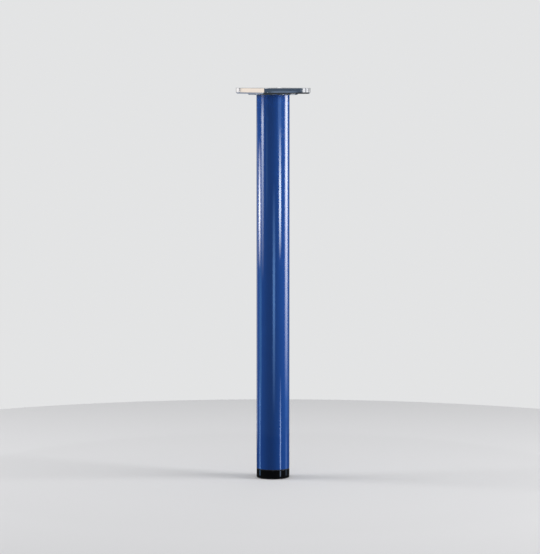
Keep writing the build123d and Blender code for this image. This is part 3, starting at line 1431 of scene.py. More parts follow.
@dataclass(frozen=True)
class MountingPlate:
    """Die-cast plate: ribbed tray, round collar and the hub that carries the clamp."""

    corner: float = 8.0 * MM
    plate_height: float = 10.5 * MM
    web: float = 3.0 * MM
    rim: float = 3.2 * MM
    lower_chamfer: float = 2.6 * MM
    arris: float = 0.15 * MM
    upper_round: float = 0.5 * MM
    rib_thickness: float = 2.2 * MM
    rib_setback: float = 1.2 * MM
    collar_radius: float = 45.0 * MM
    collar_height: float = 1.8 * MM
    collar_chamfer: float = 1.2 * MM
    screw_spacing: float = 80.0 * MM
    boss_radius: float = 7.0 * MM
    hole_radius: float = 2.75 * MM
    countersink_radius: float = 5.3 * MM
    hub_radius: float = 28.2 * MM
    hub_bore: float = 24.2 * MM
    hub_round: float = 1.5 * MM
    nose_radius: float = 7.5 * MM
    nose_end: float = 2.2 * MM
    nose_bore: float = 4.08 * MM
    nose_rib: float = 2.0 * MM
    thread_pitch: float = 1.25 * MM
    thread_depth: float = 0.6 * MM
    window_half_width: float = 8.0 * MM
    window_half_height: float = 10.0 * MM
    guide: float = 3.0 * MM
    guide_end: float = -16.2 * MM
    ejector_radius: float = 2.5 * MM
    ejector_circle: float = 37.0 * MM

    def tray(self, side: float, low: float, high: float) -> Piece:
        """Skins the square tray, open above, from outlines drawn in round its corners.

        Args:
            side: width of the plate.
            low: height of its lower face.
            high: height of its mounting face.

        Returns:
            The tray.
        """
        floor = low + self.web
        section = rounded(
            [
                Corner(self.rim + 3 * MM, low),
                Corner(self.lower_chamfer, low, self.arris),
                Corner(0.0, low + self.lower_chamfer, self.arris),
                Corner(0.0, high, self.upper_round),
                Corner(self.rim, high, self.upper_round),
                Corner(self.rim + 0.1 * MM, floor, 1.0 * MM),
                Corner(self.rim + 2 * MM, floor),
            ]
        )
        layers = [(rounded_square(side, self.corner, inset), z) for inset, z in section]
        return stacked("plate_plated", layers)

    def rib(self, name: str, reach: float, low: float, high: float) -> Piece:
        """One radial rib with a rounded top, from the hub's wall outwards.

        Args:
            name: name of the object.
            reach: distance from the axis to its end.
            low: height of its foot.
            high: height of its crown.

        Returns:
            The rib, along X.
        """
        half = self.rib_thickness / 2
        start = self.hub_bore + 1.5 * MM
        section = rounded(
            [
                Corner(-half, low),
                Corner(half, low),
                Corner(0.8 * half, high, SOFT_EDGE),
                Corner(-0.8 * half, high, SOFT_EDGE),
            ]
        )
        rib = stacked(name, [(section, start), (section, reach)])
        turn = Matrix(((0, 0, 1), (1, 0, 0), (0, 1, 0))).to_4x4()
        rib.data.transform(turn)
        return rib

    def add_ribs(self, shop: Workshop, plate: Piece, low: float, high: float) -> None:
        """Adds the four straight and four diagonal ribs, the screw bosses and the ejector marks.

        Args:
            shop: trees and finishes.
            plate: the casting so far.
            low: height of the plate's lower face.
            high: height of its mounting face.
        """
        chrome = shop.finish[Slot.CHROME]
        half_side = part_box("mounting_plate")[1].x
        half_rim = half_side - self.rim / 2
        diagonal = (half_side - self.corner) * math.sqrt(2) + self.corner - self.rim / 2
        foot, crown = low + self.web / 2, high - self.rib_setback
        straight = self.rib("straight_rib", half_rim, foot, crown)
        slanted = self.rib("diagonal_rib", diagonal, foot, crown)
        boss = turned(
            "screw_boss",
            rounded(
                [
                    Corner(0, foot),
                    Corner(self.boss_radius, foot),
                    Corner(self.boss_radius, high, SOFT_EDGE),
                    Corner(0, high),
                ]
            ),
            AROUND_SMALL,
        )
        mark = turned(
            "ejector_mark",
            rounded(
                [
                    Corner(0, foot),
                    Corner(self.ejector_radius, foot),
                    Corner(self.ejector_radius, low + self.web + 0.25 * MM, 0.1 * MM),
                    Corner(0, low + self.web + 0.25 * MM),
                ]
            ),
            AROUND_TINY,
        )
        mark.data.transform(Matrix.Translation((self.ejector_circle, 0, 0)))
        eighth = math.pi / 4
        for pattern in (
            shop.round.repeat(straight, chrome, Count=4, Start=0.0),
            shop.round.repeat(slanted, chrome, Count=4, Start=eighth),
            shop.corners.repeat(boss, chrome, Spacing=self.screw_spacing),
            shop.round.repeat(mark, chrome, Count=8, Start=eighth / 2),
        ):
            shape_with(plate, Join.ADD, pattern)

    def hub(self, low: float, high: float, inner: float = 0.0) -> Piece:
        """The hub's wall between two heights, or its full round where it has no inner radius.

        Args:
            low: height of its lower end.
            high: height of its upper end.
            inner: radius of its bore, 0 for a full round.

        Returns:
            The hub.
        """
        start = [Corner(inner, low, 0.6 * MM if inner else 0.0)]
        wall = [
            Corner(self.hub_radius, low, self.hub_round),
            Corner(self.hub_radius, high, EASED_EDGE),
            Corner(inner, high, 0.4 * MM if inner else 0.0),
        ]
        return turned("hub", rounded(start + wall))

    def add_clamp_seat(
        self, shop: Workshop, plate: Piece, key_height: float, low: float, top: float
    ) -> None:
        """Adds the threaded nose and the jaw's guides, and cuts the window and the thread.

        Args:
            shop: trees and finishes.
            plate: the casting so far.
            key_height: height of the clamp screw's axis.
            low: height of the hub's lower end.
            top: height of the plate's lower face.
        """
        inside = self.hub_radius - 0.3 * MM
        nose_outline = rounded(
            [
                Corner(0, self.nose_end),
                Corner(self.nose_radius, self.nose_end, FILLET),
                Corner(self.nose_radius, inside),
                Corner(0, inside),
            ]
        )
        nose = laid_along_y(turned("nose", nose_outline, AROUND_SMALL), key_height)
        rib = block(
            "nose_rib",
            (-self.nose_rib, self.nose_rib),
            (self.nose_end, inside),
            (key_height, top + self.web / 2),
            EASED_EDGE,
        )
        window_low = key_height - self.window_half_height
        solids = [nose, rib]
        for side in (-1, 1):
            near = side * self.window_half_width
            across = tuple(sorted((near, near + side * self.guide)))
            tall = (window_low, top + self.web / 2)
            solids.append(block("guide", across, (-inside, self.guide_end), tall, EASED_EDGE))
        envelope = self.hub(low, top + self.web)
        for solid in solids:
            shape_with(solid, Join.KEEP, envelope, keep_tools=True)
            shape_with(plate, Join.ADD, solid)
        bpy.data.objects.remove(envelope)
        window = block(
            "window",
            (-self.window_half_width, self.window_half_width),
            (-self.hub_radius - 2 * MM, self.guide_end - OVERRUN),
            (window_low, window_low + 2 * self.window_half_height),
        )
        shape_with(plate, Join.CUT, window)
        shape_with(plate, Join.CUT, self.tap(shop, key_height))

    def tap(self, shop: Workshop, key_height: float) -> Piece:
        """The threaded bar that cuts the nose's thread.

        Args:
            shop: trees and finishes.
            key_height: height of the clamp screw's axis.

        Returns:
            The tool, along Y.
        """
        crest = self.nose_bore + self.thread_depth
        span = (self.nose_end - 3 * MM, self.hub_radius + 3 * MM)
        outline = bar_section(crest, *span)
        bar = shop.threaded("nose_tap", outline, span, self.thread_pitch, self.thread_depth)
        return laid_along_y(bar, key_height)

    def screw_holes(self, shop: Workshop, low: float, high: float) -> Piece:
        """The tools of the four countersunk screw holes.

        Args:
            shop: trees and finishes.
            low: height of the plate's lower face.
            high: height of its mounting face.

        Returns:
            All four tools in one object.
        """
        depth = self.countersink_radius - self.hole_radius
        outline = [
            (0, low - OVERRUN),
            (self.countersink_radius + 0.3 * MM, low - OVERRUN),
            (self.countersink_radius + 0.3 * MM, low - 0.02 * MM),
            (self.countersink_radius, low + 0.15 * MM),
            (self.hole_radius, low + 0.15 * MM + depth),
            (self.hole_radius, high + OVERRUN),
            (0, high + OVERRUN),
        ]
        hole = turned("screw_hole", outline, AROUND_SMALL)
        return shop.corners.repeat(hole, shop.finish[Slot.CHROME], Spacing=self.screw_spacing)

    def build(self, shop: Workshop, key_height: float) -> Piece:
        """Builds the casting.

        Args:
            shop: trees and finishes.
            key_height: height of the clamp screw's axis.

        Returns:
            The dressed plate.
        """
        low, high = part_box("mounting_plate")
        face = high.z - self.plate_height
        collar_low = face - self.collar_height
        plate = self.tray(high.x - low.x, face, high.z)
        collar = turned(
            "collar",
            rounded(
                [
                    Corner(0, collar_low),
                    Corner(self.collar_radius - self.collar_chamfer, collar_low, self.arris),
                    Corner(self.collar_radius, collar_low + self.collar_chamfer, self.arris),
                    Corner(self.collar_radius, face + OVERRUN),
                    Corner(0, face + OVERRUN),
                ]
            ),
            AROUND_LARGE,
        )
        shape_with(plate, Join.ADD, collar)
        bore = bar_section(self.hub_bore + 2 * MM, low.z, high.z + OVERRUN)
        shape_with(plate, Join.CUT, turned("bore_cutter", bore))
        shape_with(plate, Join.ADD, self.hub(low.z, high.z - self.rib_setback, self.hub_bore))
        self.add_ribs(shop, plate, face, high.z)
        self.add_clamp_seat(shop, plate, key_height, low.z, face)
        shape_with(plate, Join.CUT, self.screw_holes(shop, face, high.z))
        return shop.hand_over(plate, "mounting_plate", Slot.CHROME, "head")


# ------------------------------------------------------------------ clamp


@dataclass(frozen=True)
class Clamp:
    """The jaw that grips the tube from inside, and its set screw."""

    groove_count: int = 3
    groove_half_width: float = 0.6 * MM
    groove_depth: float = 0.6 * MM
    socket_radius: float = 2.85 * MM
    socket_depth: float = 2.5 * MM
    edge: float = 0.4 * MM
    point_radius: float = 2.75 * MM
    point_length: float = 3.5 * MM
    pitch: float = 1.25 * MM
    thread_depth: float = 0.68 * MM
    chamfer: float = 0.7 * MM
    key: float = 4.0 * MM
    key_depth: float = 5.0 * MM

    def build_jaw(self, shop: Workshop) -> Piece:
        """Builds the jaw: a curved front with grip grooves and a socket for the screw's point.

        Args:
            shop: trees and finishes.

        Returns:
            The dressed jaw.
        """
        low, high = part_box("clamp_jaw")
        reach = -low.y
        steps = 24
        front = [high.x * (1 - 2 * step / steps) for step in range(steps + 1)]
        curve = [(-x, -math.sqrt(reach**2 - x**2)) for x in front]
        plan = [(low.x, high.y), *curve, (high.x, high.y)]
        jaw = prism("jaw_shoe", plan, low.z, high.z, self.edge)
        pitch = (high.z - low.z) / (self.groove_count + 1)
        for index in range(self.groove_count):
            middle = low.z + (index + 1) * pitch
            bottom, edge = reach - self.groove_depth, reach + OVERRUN
            ring = [
                (bottom, middle - 0.6 * self.groove_half_width),
                (edge, middle - 1.4 * self.groove_half_width),
                (edge, middle + 1.4 * self.groove_half_width),
                (bottom, middle + 0.6 * self.groove_half_width),
            ]
            shape_with(jaw, Join.CUT, turned("grip_groove", ring, AROUND))
        radius = self.socket_radius
        socket = turned(
            "socket",
            [
                (0, high.y - self.socket_depth),
                (radius, high.y - self.socket_depth),
                (radius, high.y - 0.4 * MM),
                (radius + 0.6 * MM, high.y + 0.2 * MM),
                (radius + 0.6 * MM, high.y + OVERRUN),
                (0, high.y + OVERRUN),
            ],
            AROUND_HOLE,
        )
        shape_with(jaw, Join.CUT, laid_along_y(socket, (low.z + high.z) / 2))
        return shop.hand_over(jaw, "clamp_jaw", Slot.ZINC, "jaw")

    def build_screw(self, shop: Workshop) -> Piece:
        """Builds the set screw with its thread, dog point and hexagon socket.

        Args:
            shop: trees and finishes.

        Returns:
            The dressed screw.
        """
        low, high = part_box("clamp_screw")
        radius, axis = high.x, (low.z + high.z) / 2
        shoulder = low.y + self.point_length
        outline = rounded(
            [
                Corner(0, low.y),
                Corner(self.point_radius, low.y, EASED_EDGE),
                Corner(self.point_radius, shoulder),
                Corner(radius - 0.6 * MM, shoulder),
                Corner(radius, shoulder + 0.6 * MM),
                Corner(radius, high.y - self.chamfer),
                Corner(radius - self.chamfer, high.y),
                Corner(0, high.y),
            ]
        )
        span = (shoulder + 0.8 * MM, high.y - self.chamfer - 0.1 * MM)
        screw = shop.threaded("set_screw", outline, span, self.pitch, self.thread_depth)
        corner = corner_reach(self.key)
        key = prism("key", regular_polygon(self.key), high.y - self.key_depth, high.y + OVERRUN)
        drill = turned(
            "key_drill",
            [
                (0, high.y - self.key_depth - 0.6 * corner),
                (0.94 * self.key / 2, high.y - self.key_depth + 0.1 * MM),
                (0, high.y - self.key_depth + 0.4 * MM),
            ],
            AROUND_TINY,
        )
        mouth = turned(
            "key_mouth",
            [
                (0, high.y - 1 * MM),
                (corner - 0.6 * MM, high.y - 0.6 * MM),
                (corner + 0.2 * MM, high.y + 0.2 * MM),
                (0, high.y + 0.2 * MM),
            ],
            AROUND_TINY,
        )
        shape_with(screw, Join.CUT, key, drill, mouth)
        laid_along_y(screw, axis)
        return shop.hand_over(screw, "clamp_screw", Slot.PLATED_STEEL, "screw")


# ------------------------------------------------------------------ bottom plug


@dataclass(frozen=True)
class BottomPlug:
    """The finned plug in the tube's lower end and the nut that it holds."""

    flange: float = 1.2 * MM
    floor: float = 2.0 * MM
    plug_radius: float = 28.45 * MM
    skirt_radius: float = 25.9 * MM
    skirt_wall: float = 2.0 * MM
    boss_wall: float = 2.8 * MM
    guide_bore: float = 5.3 * MM
    fin_count: int = 12
    fin_thickness: float = 1.8 * MM
    web_count: int = 6
    web_thickness: float = 2.0 * MM
    web_setback: float = 4.0 * MM
    lead: float = 1.2 * MM
    pocket: float = 17.1 * MM
    nut_bore: float = 5.08 * MM
    pitch: float = 1.5 * MM
    thread_depth: float = 0.8 * MM

    def fin(self, low: float, high: float) -> Piece:
        """One outer fin with its lead-in.

        Args:
            low: height of its foot.
            high: height of its upper end.

        Returns:
            The fin, on +X.
        """
        half = self.fin_thickness / 2
        inner = self.skirt_radius - self.skirt_wall / 2

        def plan(reach: float, width: float) -> list[Point]:
            """Rectangle of the fin at one height."""
            return [(inner, -width), (reach, -width), (reach, width), (inner, width)]

        return stacked(
            "fin",
            [
                (plan(self.plug_radius, half), low),
                (plan(self.plug_radius, half), high - self.lead),
                (plan(self.plug_radius - self.lead, 0.85 * half), high - 0.2 * MM),
                (plan(self.plug_radius - self.lead - 0.2 * MM, 0.7 * half), high),
            ],
        )

    def build_plug(self, shop: Workshop) -> Piece:
        """Builds the plug.

        Args:
            shop: trees and finishes.

        Returns:
            The dressed plug.
        """
        low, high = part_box("bottom_insert")
        nut_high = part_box("insert_nut")[1].z
        seat = low.z + self.flange
        floor = seat + self.floor
        boss = corner_reach(self.pocket) + self.boss_wall
        guide = self.guide_bore + self.boss_wall
        inner = self.skirt_radius - self.skirt_wall
        outline = rounded(
            [
                Corner(self.guide_bore, high.z, SMALL_EDGE),
                Corner(guide, high.z, SMALL_EDGE),
                Corner(guide, nut_high + self.boss_wall, FILLET),
                Corner(boss, nut_high + self.boss_wall, SMALL_EDGE),
                Corner(boss, floor, FILLET),
                Corner(inner, floor, FILLET),
                Corner(inner, high.z, SMALL_EDGE),
                Corner(self.skirt_radius, high.z, SMALL_EDGE),
                Corner(self.skirt_radius, floor, SMALL_EDGE),
                Corner(self.plug_radius, floor, SMALL_EDGE),
                Corner(self.plug_radius, seat),
                Corner(high.x, seat, 0.25 * MM),
                Corner(high.x, low.z, 0.25 * MM),
                Corner(self.guide_bore, low.z),
            ]
        )
        plug = turned("plug_moulding", outline)
        plastic = shop.finish[Slot.PLASTIC]
        fins = shop.round.repeat(self.fin(floor - 0.5 * MM, high.z), plastic, Count=self.fin_count)
        half = self.web_thickness / 2
        web = block(
            "web",
            (self.guide_bore + OVERRUN, inner + OVERRUN),
            (-half, half),
            (floor - 0.5 * MM, high.z - self.web_setback),
            SMALL_EDGE,
        )
        webs = shop.round.repeat(web, plastic, Count=self.web_count)
        pocket = prism("pocket", regular_polygon(self.pocket), low.z - OVERRUN, nut_high)
        shape_with(plug, Join.ADD, fins, webs)
        shape_with(plug, Join.CUT, pocket)
        return shop.hand_over(plug, "bottom_insert", Slot.PLASTIC, "leg")

    def build_nut(self, shop: Workshop) -> Piece:
        """Builds the threaded hexagon nut.

        Args:
            shop: trees and finishes.

        Returns:
            The dressed nut.
        """
        low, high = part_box("insert_nut")
        nut = hexagon_with_turned_corners("nut", low, high, both_ends=True)
        crest = self.nut_bore + self.thread_depth
        span = (low.z - 2 * MM, high.z + 2 * MM)
        outline = bar_section(crest, *span)
        tap = shop.threaded("nut_tap", outline, span, self.pitch, self.thread_depth)
        shape_with(nut, Join.CUT, tap)
        return shop.hand_over(nut, "insert_nut", Slot.PLATED_STEEL, "leg")


def hexagon_with_turned_corners(name: str, low: Vector, high: Vector, both_ends: bool) -> Piece:
    """Hexagon bar with its corners turned down at 30 degrees.

    Args:
        name: name of the object.
        low: lowest corner of its box, which gives its size and height.
        high: highest corner of its box.
        both_ends: whether the upper end is turned too.

    Returns:
        The solid, about the leg's axis.
    """
    flats = high.y - low.y
    reach = high.x
    flat = TURNED_FLAT * flats
    drop = (reach - flat) * math.tan(TURNED_SLOPE)
    bar = prism(name, regular_polygon(flats), low.z, high.z)
    envelope = [(0, low.z), (flat, low.z), (reach, low.z + drop)]
    envelope += [(reach, high.z - drop), (flat, high.z)] if both_ends else [(reach, high.z)]
    return shape_with(bar, Join.KEEP, turned("envelope", [*envelope, (0, high.z)]))


# ------------------------------------------------------------------ levelling foot


@dataclass(frozen=True)
class LevellingFoot:
    """The cup, its spindle with stop clip, and the glide with its sole."""

    wall: float = 2.4 * MM
    deck: float = 3.0 * MM
    lip: float = 0.8 * MM
    lip_depth: float = 0.7 * MM
    lower_round: float = 0.8 * MM
    upper_round: float = 0.5 * MM
    rib_count: int = 12
    rib_thickness: float = 1.8 * MM
    boss_wall: float = 3.0 * MM
    shank_hole: float = 5.1 * MM
    pocket: float = 17.1 * MM
    shank_radius: float = 5.0 * MM
    groove_radius: float = 4.0 * MM
    tip: float = 1.0 * MM
    pitch: float = 1.5 * MM
    thread_depth: float = 0.85 * MM
    clip_grip: float = 4.05 * MM
    clip_mouth: float = 3.25 * MM
    clip_relief: float = 1.4 * MM
    relief_turns: tuple[float, ...] = (math.radians(35), math.radians(145))
    relief_half_turn: float = math.radians(26)
    glide_lower: float = 26.6 * MM
    glide_flange: float = 1.9 * MM
    glide_deck: float = 4.2 * MM
    stud: float = 8.4 * MM
    recess: float = 24.1 * MM
    groove_pitch: float = 7.0 * MM
    groove_half_width: float = 1.0 * MM
    groove_depth: float = 0.6 * MM

    def build_cup(self, shop: Workshop) -> Piece:
        """Builds the cup: a polished shell, ribs inside and the pocket of the spindle's head.

        Args:
            shop: trees and finishes.

        Returns:
            The dressed cup.
        """
        low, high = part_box("foot_cup")
        glide_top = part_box("foot_glide")[0].z + self.glide_deck - 0.8 * MM
        bore = high.x - self.wall
        ceiling = high.z - self.deck
        boss = corner_reach(self.pocket) + self.boss_wall
        outline = rounded(
            [
                Corner(bore - self.lip_depth, low.z, SMALL_EDGE),
                Corner(high.x, low.z, self.lower_round),
                Corner(high.x, high.z, self.upper_round),
                Corner(self.shank_hole, high.z, FINE_EDGE),
                Corner(self.shank_hole, glide_top, FINE_EDGE),
                Corner(boss, glide_top, SMALL_EDGE),
                Corner(boss, ceiling, SOFT_EDGE),
                Corner(bore, ceiling, FILLET),
                Corner(bore, low.z + self.lip),
                Corner(bore - self.lip_depth, low.z + self.lip, FINE_EDGE),
            ],
            6,
        )
        cup = turned("foot_shell", outline, AROUND_LARGE)
        half = self.rib_thickness / 2
        rib = block(
            "cup_rib",
            (boss - OVERRUN, bore + OVERRUN),
            (-half, half),
            (glide_top, ceiling + OVERRUN),
            0.25 * MM,
        )
        ribs = shop.round.repeat(rib, shop.finish[Slot.GLOSS_PLASTIC], Count=self.rib_count)
        pocket = prism("pocket", regular_polygon(self.pocket), low.z, ceiling)
        shape_with(cup, Join.ADD, ribs)
        shape_with(cup, Join.CUT, pocket)
        return shop.hand_over(cup, "foot_cup", Slot.GLOSS_PLASTIC, "foot")

    def build_spindle(self, shop: Workshop) -> Piece:
        """Builds the threaded spindle with its hexagon head and clip groove.

        Args:
            shop: trees and finishes.

        Returns:
            The dressed spindle.
        """
        low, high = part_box("foot_spindle")
        clip_low, clip_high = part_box("spindle_clip")
        head_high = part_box("foot_cup")[1].z - self.deck
        shank = self.shank_radius
        outline = rounded(
            [
                Corner(0, head_high - OVERRUN),
                Corner(shank, head_high - OVERRUN),
                Corner(shank, head_high + 3 * MM),
                Corner(shank, clip_low.z - 0.05 * MM),
                Corner(self.groove_radius, clip_low.z - 0.05 * MM),
                Corner(self.groove_radius, clip_high.z + 0.05 * MM),
                Corner(shank, clip_high.z + 0.05 * MM),
                Corner(shank, high.z - self.tip),
                Corner(shank - self.tip, high.z),
                Corner(0, high.z),
            ]
        )
        span = (head_high + 3.2 * MM, clip_low.z - 0.3 * MM)
        spindle = shop.threaded("spindle", outline, span, self.pitch, self.thread_depth)
        head_box_high = Vector((high.x, high.y, head_high))
        head = hexagon_with_turned_corners("head", low, head_box_high, both_ends=False)
        shape_with(spindle, Join.ADD, head)
        return shop.hand_over(spindle, "foot_spindle", Slot.PLATED_STEEL, "foot")

    def build_clip(self, shop: Workshop) -> Piece:
        """Builds the retaining clip, open on -Y, with two reliefs that let it spring.

        Args:
            shop: trees and finishes.

        Returns:
            The dressed clip.
        """
        low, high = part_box("spindle_clip")
        outer, steps = high.x, 64
        plan: list[Point] = []
        for radius, forwards in ((outer, True), (self.clip_grip, False)):
            gap = math.asin(self.clip_mouth / radius)
            for step in range(steps + 1):
                share = step / steps if forwards else 1 - step / steps
                angle = -math.pi / 2 + gap + (math.tau - 2 * gap) * share
                reach = radius
                if not forwards:
                    for relief in self.relief_turns:
                        apart = math.remainder(angle - relief, math.tau)
                        if abs(apart) < self.relief_half_turn:
                            swell = math.cos(math.pi / 2 * apart / self.relief_half_turn) ** 2
                            reach += self.clip_relief * swell
                plan.append((reach * math.cos(angle), reach * math.sin(angle)))
        clip = prism("stop_clip", plan, low.z, high.z, 0.12 * MM)
        return shop.hand_over(clip, "spindle_clip", Slot.SPRING, "foot")

    def build_glide(self, shop: Workshop) -> Piece:
        """Builds the glide that snaps into the cup's lip.

        Args:
            shop: trees and finishes.

        Returns:
            The dressed glide.
        """
        low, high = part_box("foot_glide")
        sole_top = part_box("sole_pad")[1].z
        outline = rounded(
            [
                Corner(0, sole_top),
                Corner(self.recess, sole_top, SMALL_EDGE),
                Corner(self.recess, low.z, SMALL_EDGE),
                Corner(self.glide_lower, low.z, SMALL_EDGE),
                Corner(self.glide_lower, self.glide_flange),
                Corner(high.x, self.glide_flange, SMALL_EDGE),
                Corner(high.x, self.glide_deck, 0.8 * MM),
                Corner(self.stud, self.glide_deck, SMALL_EDGE),
                Corner(self.stud, high.z, SOFT_EDGE),
                Corner(0, high.z),
            ]
        )
        glide = turned("glide_disc", outline)
        return shop.hand_over(glide, "foot_glide", Slot.PLASTIC, "glide")

    def build_sole(self, shop: Workshop) -> Piece:
        """Builds the soft sole with round grooves in its underside.

        Args:
            shop: trees and finishes.

        Returns:
            The dressed sole.
        """
        low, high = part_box("sole_pad")
        corners = [Corner(0, low.z)]
        for index in (2, 1):
            middle = high.x - index * self.groove_pitch
            near, far = middle - self.groove_half_width, middle + self.groove_half_width
            deep = low.z + self.groove_depth
            corners += [
                Corner(near, low.z, FINE_EDGE),
                Corner(near + 0.3 * MM, deep, FINE_EDGE),
                Corner(far - 0.3 * MM, deep, FINE_EDGE),
                Corner(far, low.z, FINE_EDGE),
            ]
        corners += [
            Corner(high.x, low.z, EASED_EDGE),
            Corner(high.x, high.z, 0.1 * MM),
            Corner(0, high.z),
        ]
        sole = turned("sole_disc", rounded(corners))
        return shop.hand_over(sole, "sole_pad", Slot.RUBBER, "glide")


# ------------------------------------------------------------------ studio


@dataclass(frozen=True)
class Lamp:
    """A large soft lamp that faces the leg.

    Args:
        azimuth: degrees from the camera's side, positive towards the camera's right.
        distance: from the leg's axis.
        height: height of its middle.
        width: width of its face.
        tall: height of its face.
        power: watts.
        glossy: whether it shows in gloss.
    """

    azimuth: float
    distance: float
    height: float
    width: float
    tall: float
    power: float
    glossy: bool = False


@dataclass(frozen=True)
class Card:
    """An upright card that stands close to the leg and shows only in its gloss.

    Args:
        azimuth: degrees from the camera's side, positive towards the camera's right.
        width: degrees that it covers as seen from the leg.
        low: height of its lower edge.
        high: height of its upper edge.
        glow: how bright it is, where 1 is a white wall.
        tint: its colour.
        fade_low: share of its height that fades in from the lower edge.
        fade_high: share of its height that fades out to the upper edge.
        fade_side: share of its half width that fades out at either side.
        distance: from the leg's axis.
    """

    azimuth: float
    width: float
    low: float
    high: float
    glow: float
    tint: Colour = (1.0, 1.0, 1.0)
    fade_low: float = 0.3
    fade_high: float = 0.3
    fade_side: float = 0.4
    distance: float = 0.3


@dataclass(frozen=True)
class Studio:
    """Camera, lamps, sky, the pale round floor, and the dark cove and cards that gloss shows."""

    azimuth: float = math.radians(213.0)
    distance: float = 4.7
    eye_height: float = 0.744
    pitch: float = math.radians(4.585)
    yaw: float = 0.001164
    lens: float = 168.5
    floor_radius: float = 1.12
    floor_colour: Colour = (0.68, 0.68, 0.69)
    floor_bounce: Colour = (0.08, 0.08, 0.085)
    backdrop: Colour = (0.77, 0.775, 0.78)
    sky_light: float = 0.3
    lamps: tuple[Lamp, ...] = (
        Lamp(-93, 2.7, 1.25, 1.5, 1.3, 54),
        Lamp(78, 2.7, 1.25, 1.5, 1.3, 70),
        Lamp(0, 0.0, 2.4, 1.8, 1.8, 24, glossy=True),
    )
    cove_radius: float = 0.58
    cove_height: float = 1.0
    ledge_start: float = 32 * MM
    ledge_lift: float = 0.5 * MM
    cove_colour: Colour = (0.075, 0.105, 0.15)
    ledge_colour: Colour = (0.045, 0.05, 0.055)
    cards: tuple[Card, ...] = (
        Card(-104, 23, 0.36, 0.61, 7.0, fade_low=0.4, fade_high=0.45),
        Card(-75, 22, 0.34, 0.70, 5.0, (0.93, 0.98, 1.05), fade_low=0.85, fade_high=0.13),
        Card(-42, 12, 0.45, 0.69, 0.35, (0.6, 1.0, 1.2)),
        Card(-95, 28, 0.05, 0.42, 0.5, (0.5, 1.1, 1.6), distance=0.34),
        Card(6, 18, 0.08, 0.53, 1.9, (0.5, 0.95, 1.6), fade_low=0.5, fade_high=0.4),
        Card(48, 17, 0.38, 0.64, 9.5, (0.93, 1.0, 1.0), fade_low=0.35, fade_high=0.45),
        Card(45, 28, 0.56, 0.692, 0.9, (0.6, 1.0, 1.6), 0.4, 0.03, distance=0.33),
        Card(104.5, 36, 0.08, 0.693, 5.8, (1.0, 1.0, 1.0), 0.72, 0.003, 0.48, 0.5),
        Card(105, 34, 0.03, 0.30, 0.4, (0.5, 0.9, 1.6), 0.05, 0.3, 0.4, 0.55),
        Card(-142, 26, 0.0, 0.69, 0.4, (0.9, 1.0, 1.2), 0.05, 0.1, 0.4, 0.34),
        Card(59.3, 10.5, 0.50, 0.7030, 0.42, (0.5, 0.68, 1.0), 0.5, 0.01, 0.3),
        Card(-76.6, 67.9, 0.697, 0.78, 1.12, (1.0, 0.88, 0.76), 0.01, 0.1, 0.005),
        Card(-110.5, 1.0, 0.697, 0.78, 1.25, (1.0, 0.97, 0.96), 0.01, 0.1, 0.05),
        Card(-136.2, 50, 0.697, 0.78, 0.65, (1.0, 0.99, 0.98), 0.01, 0.1, 0.005),
        Card(66.64, 0.88, 0.697, 0.78, 1.25, (0.97, 0.98, 1.0), 0.01, 0.1, 0.05),
        Card(67.8, 0.7, 0.697, 0.78, 1.25, (0.97, 0.98, 1.0), 0.01, 0.1, 0.05),
        Card(100.2, 64, 0.697, 0.78, 0.66, (1.0, 1.0, 1.0), 0.01, 0.1, 0.005),
        Card(-71, 10, 0.002, 0.20, 1.5, (0.5, 0.9, 1.5), 0.01, 0.3, 0.4, 0.0425),
        Card(34.7, 6.5, 0.002, 0.19, 3.3, (0.7, 0.9, 1.25), 0.01, 0.5, 0.4, 0.042),
        Card(73, 15, 0.002, 0.12, 0.55, (0.7, 0.95, 1.3), 0.01, 0.5, 0.4, 0.043),
    )

    def compass(self, azimuth: float) -> Vector:
        """Level direction from the leg at an azimuth from the camera's side, in degrees.

        Args:
            azimuth: degrees, positive towards the camera's right.

        Returns:
            The direction, of length 1.
        """
        towards = Vector((math.sin(self.azimuth), math.cos(self.azimuth), 0))
        right = Vector((-towards.y, towards.x, 0))
        turn = math.radians(azimuth)
        return towards * math.cos(turn) + right * math.sin(turn)

    def set_camera(self) -> None:
        """Places the camera and makes it the scene's."""
        data = bpy.data.cameras.new("viewpoint")
        data.lens = self.lens
        data.clip_end = 1000
        camera = new_object("viewpoint", data)
        towards, right = self.compass(0), self.compass(90)
        camera.location = towards * self.distance + Vector((0, 0, self.eye_height))
        level = -towards * math.cos(self.yaw) - right * math.sin(self.yaw)
        look = level * math.cos(self.pitch) - Vector((0, 0, math.sin(self.pitch)))
        camera.rotation_euler = look.to_track_quat("-Z", "Y").to_euler()
        bpy.context.scene.camera = camera

    def set_lamp(self, index: int, lamp: Lamp) -> None:
        """Hangs one soft lamp, which the camera does not see.

        Args:
            index: number in its name.
            lamp: the lamp.
        """
        data = bpy.data.lights.new(f"soft_lamp_{index}", "AREA")
        data.shape = "RECTANGLE"
        data.size, data.size_y, data.energy = lamp.width, lamp.tall, lamp.power
        body = new_object(data.name, data)
        body.location = self.compass(lamp.azimuth) * lamp.distance + Vector((0, 0, lamp.height))
        aim = self.compass(lamp.azimuth) if lamp.distance else Vector((0, 0, 1))
        body.rotation_euler = aim.to_track_quat("Z", "Y").to_euler()
        body.visible_camera = False
        body.visible_glossy = lamp.glossy

    def show_in_gloss_only(self, screen: Piece) -> None:
        """Hides a stage object from everything but reflections."""
        screen.visible_camera = screen.visible_diffuse = screen.visible_shadow = False
        screen.data.materials[0].cycles.emission_sampling = "NONE"

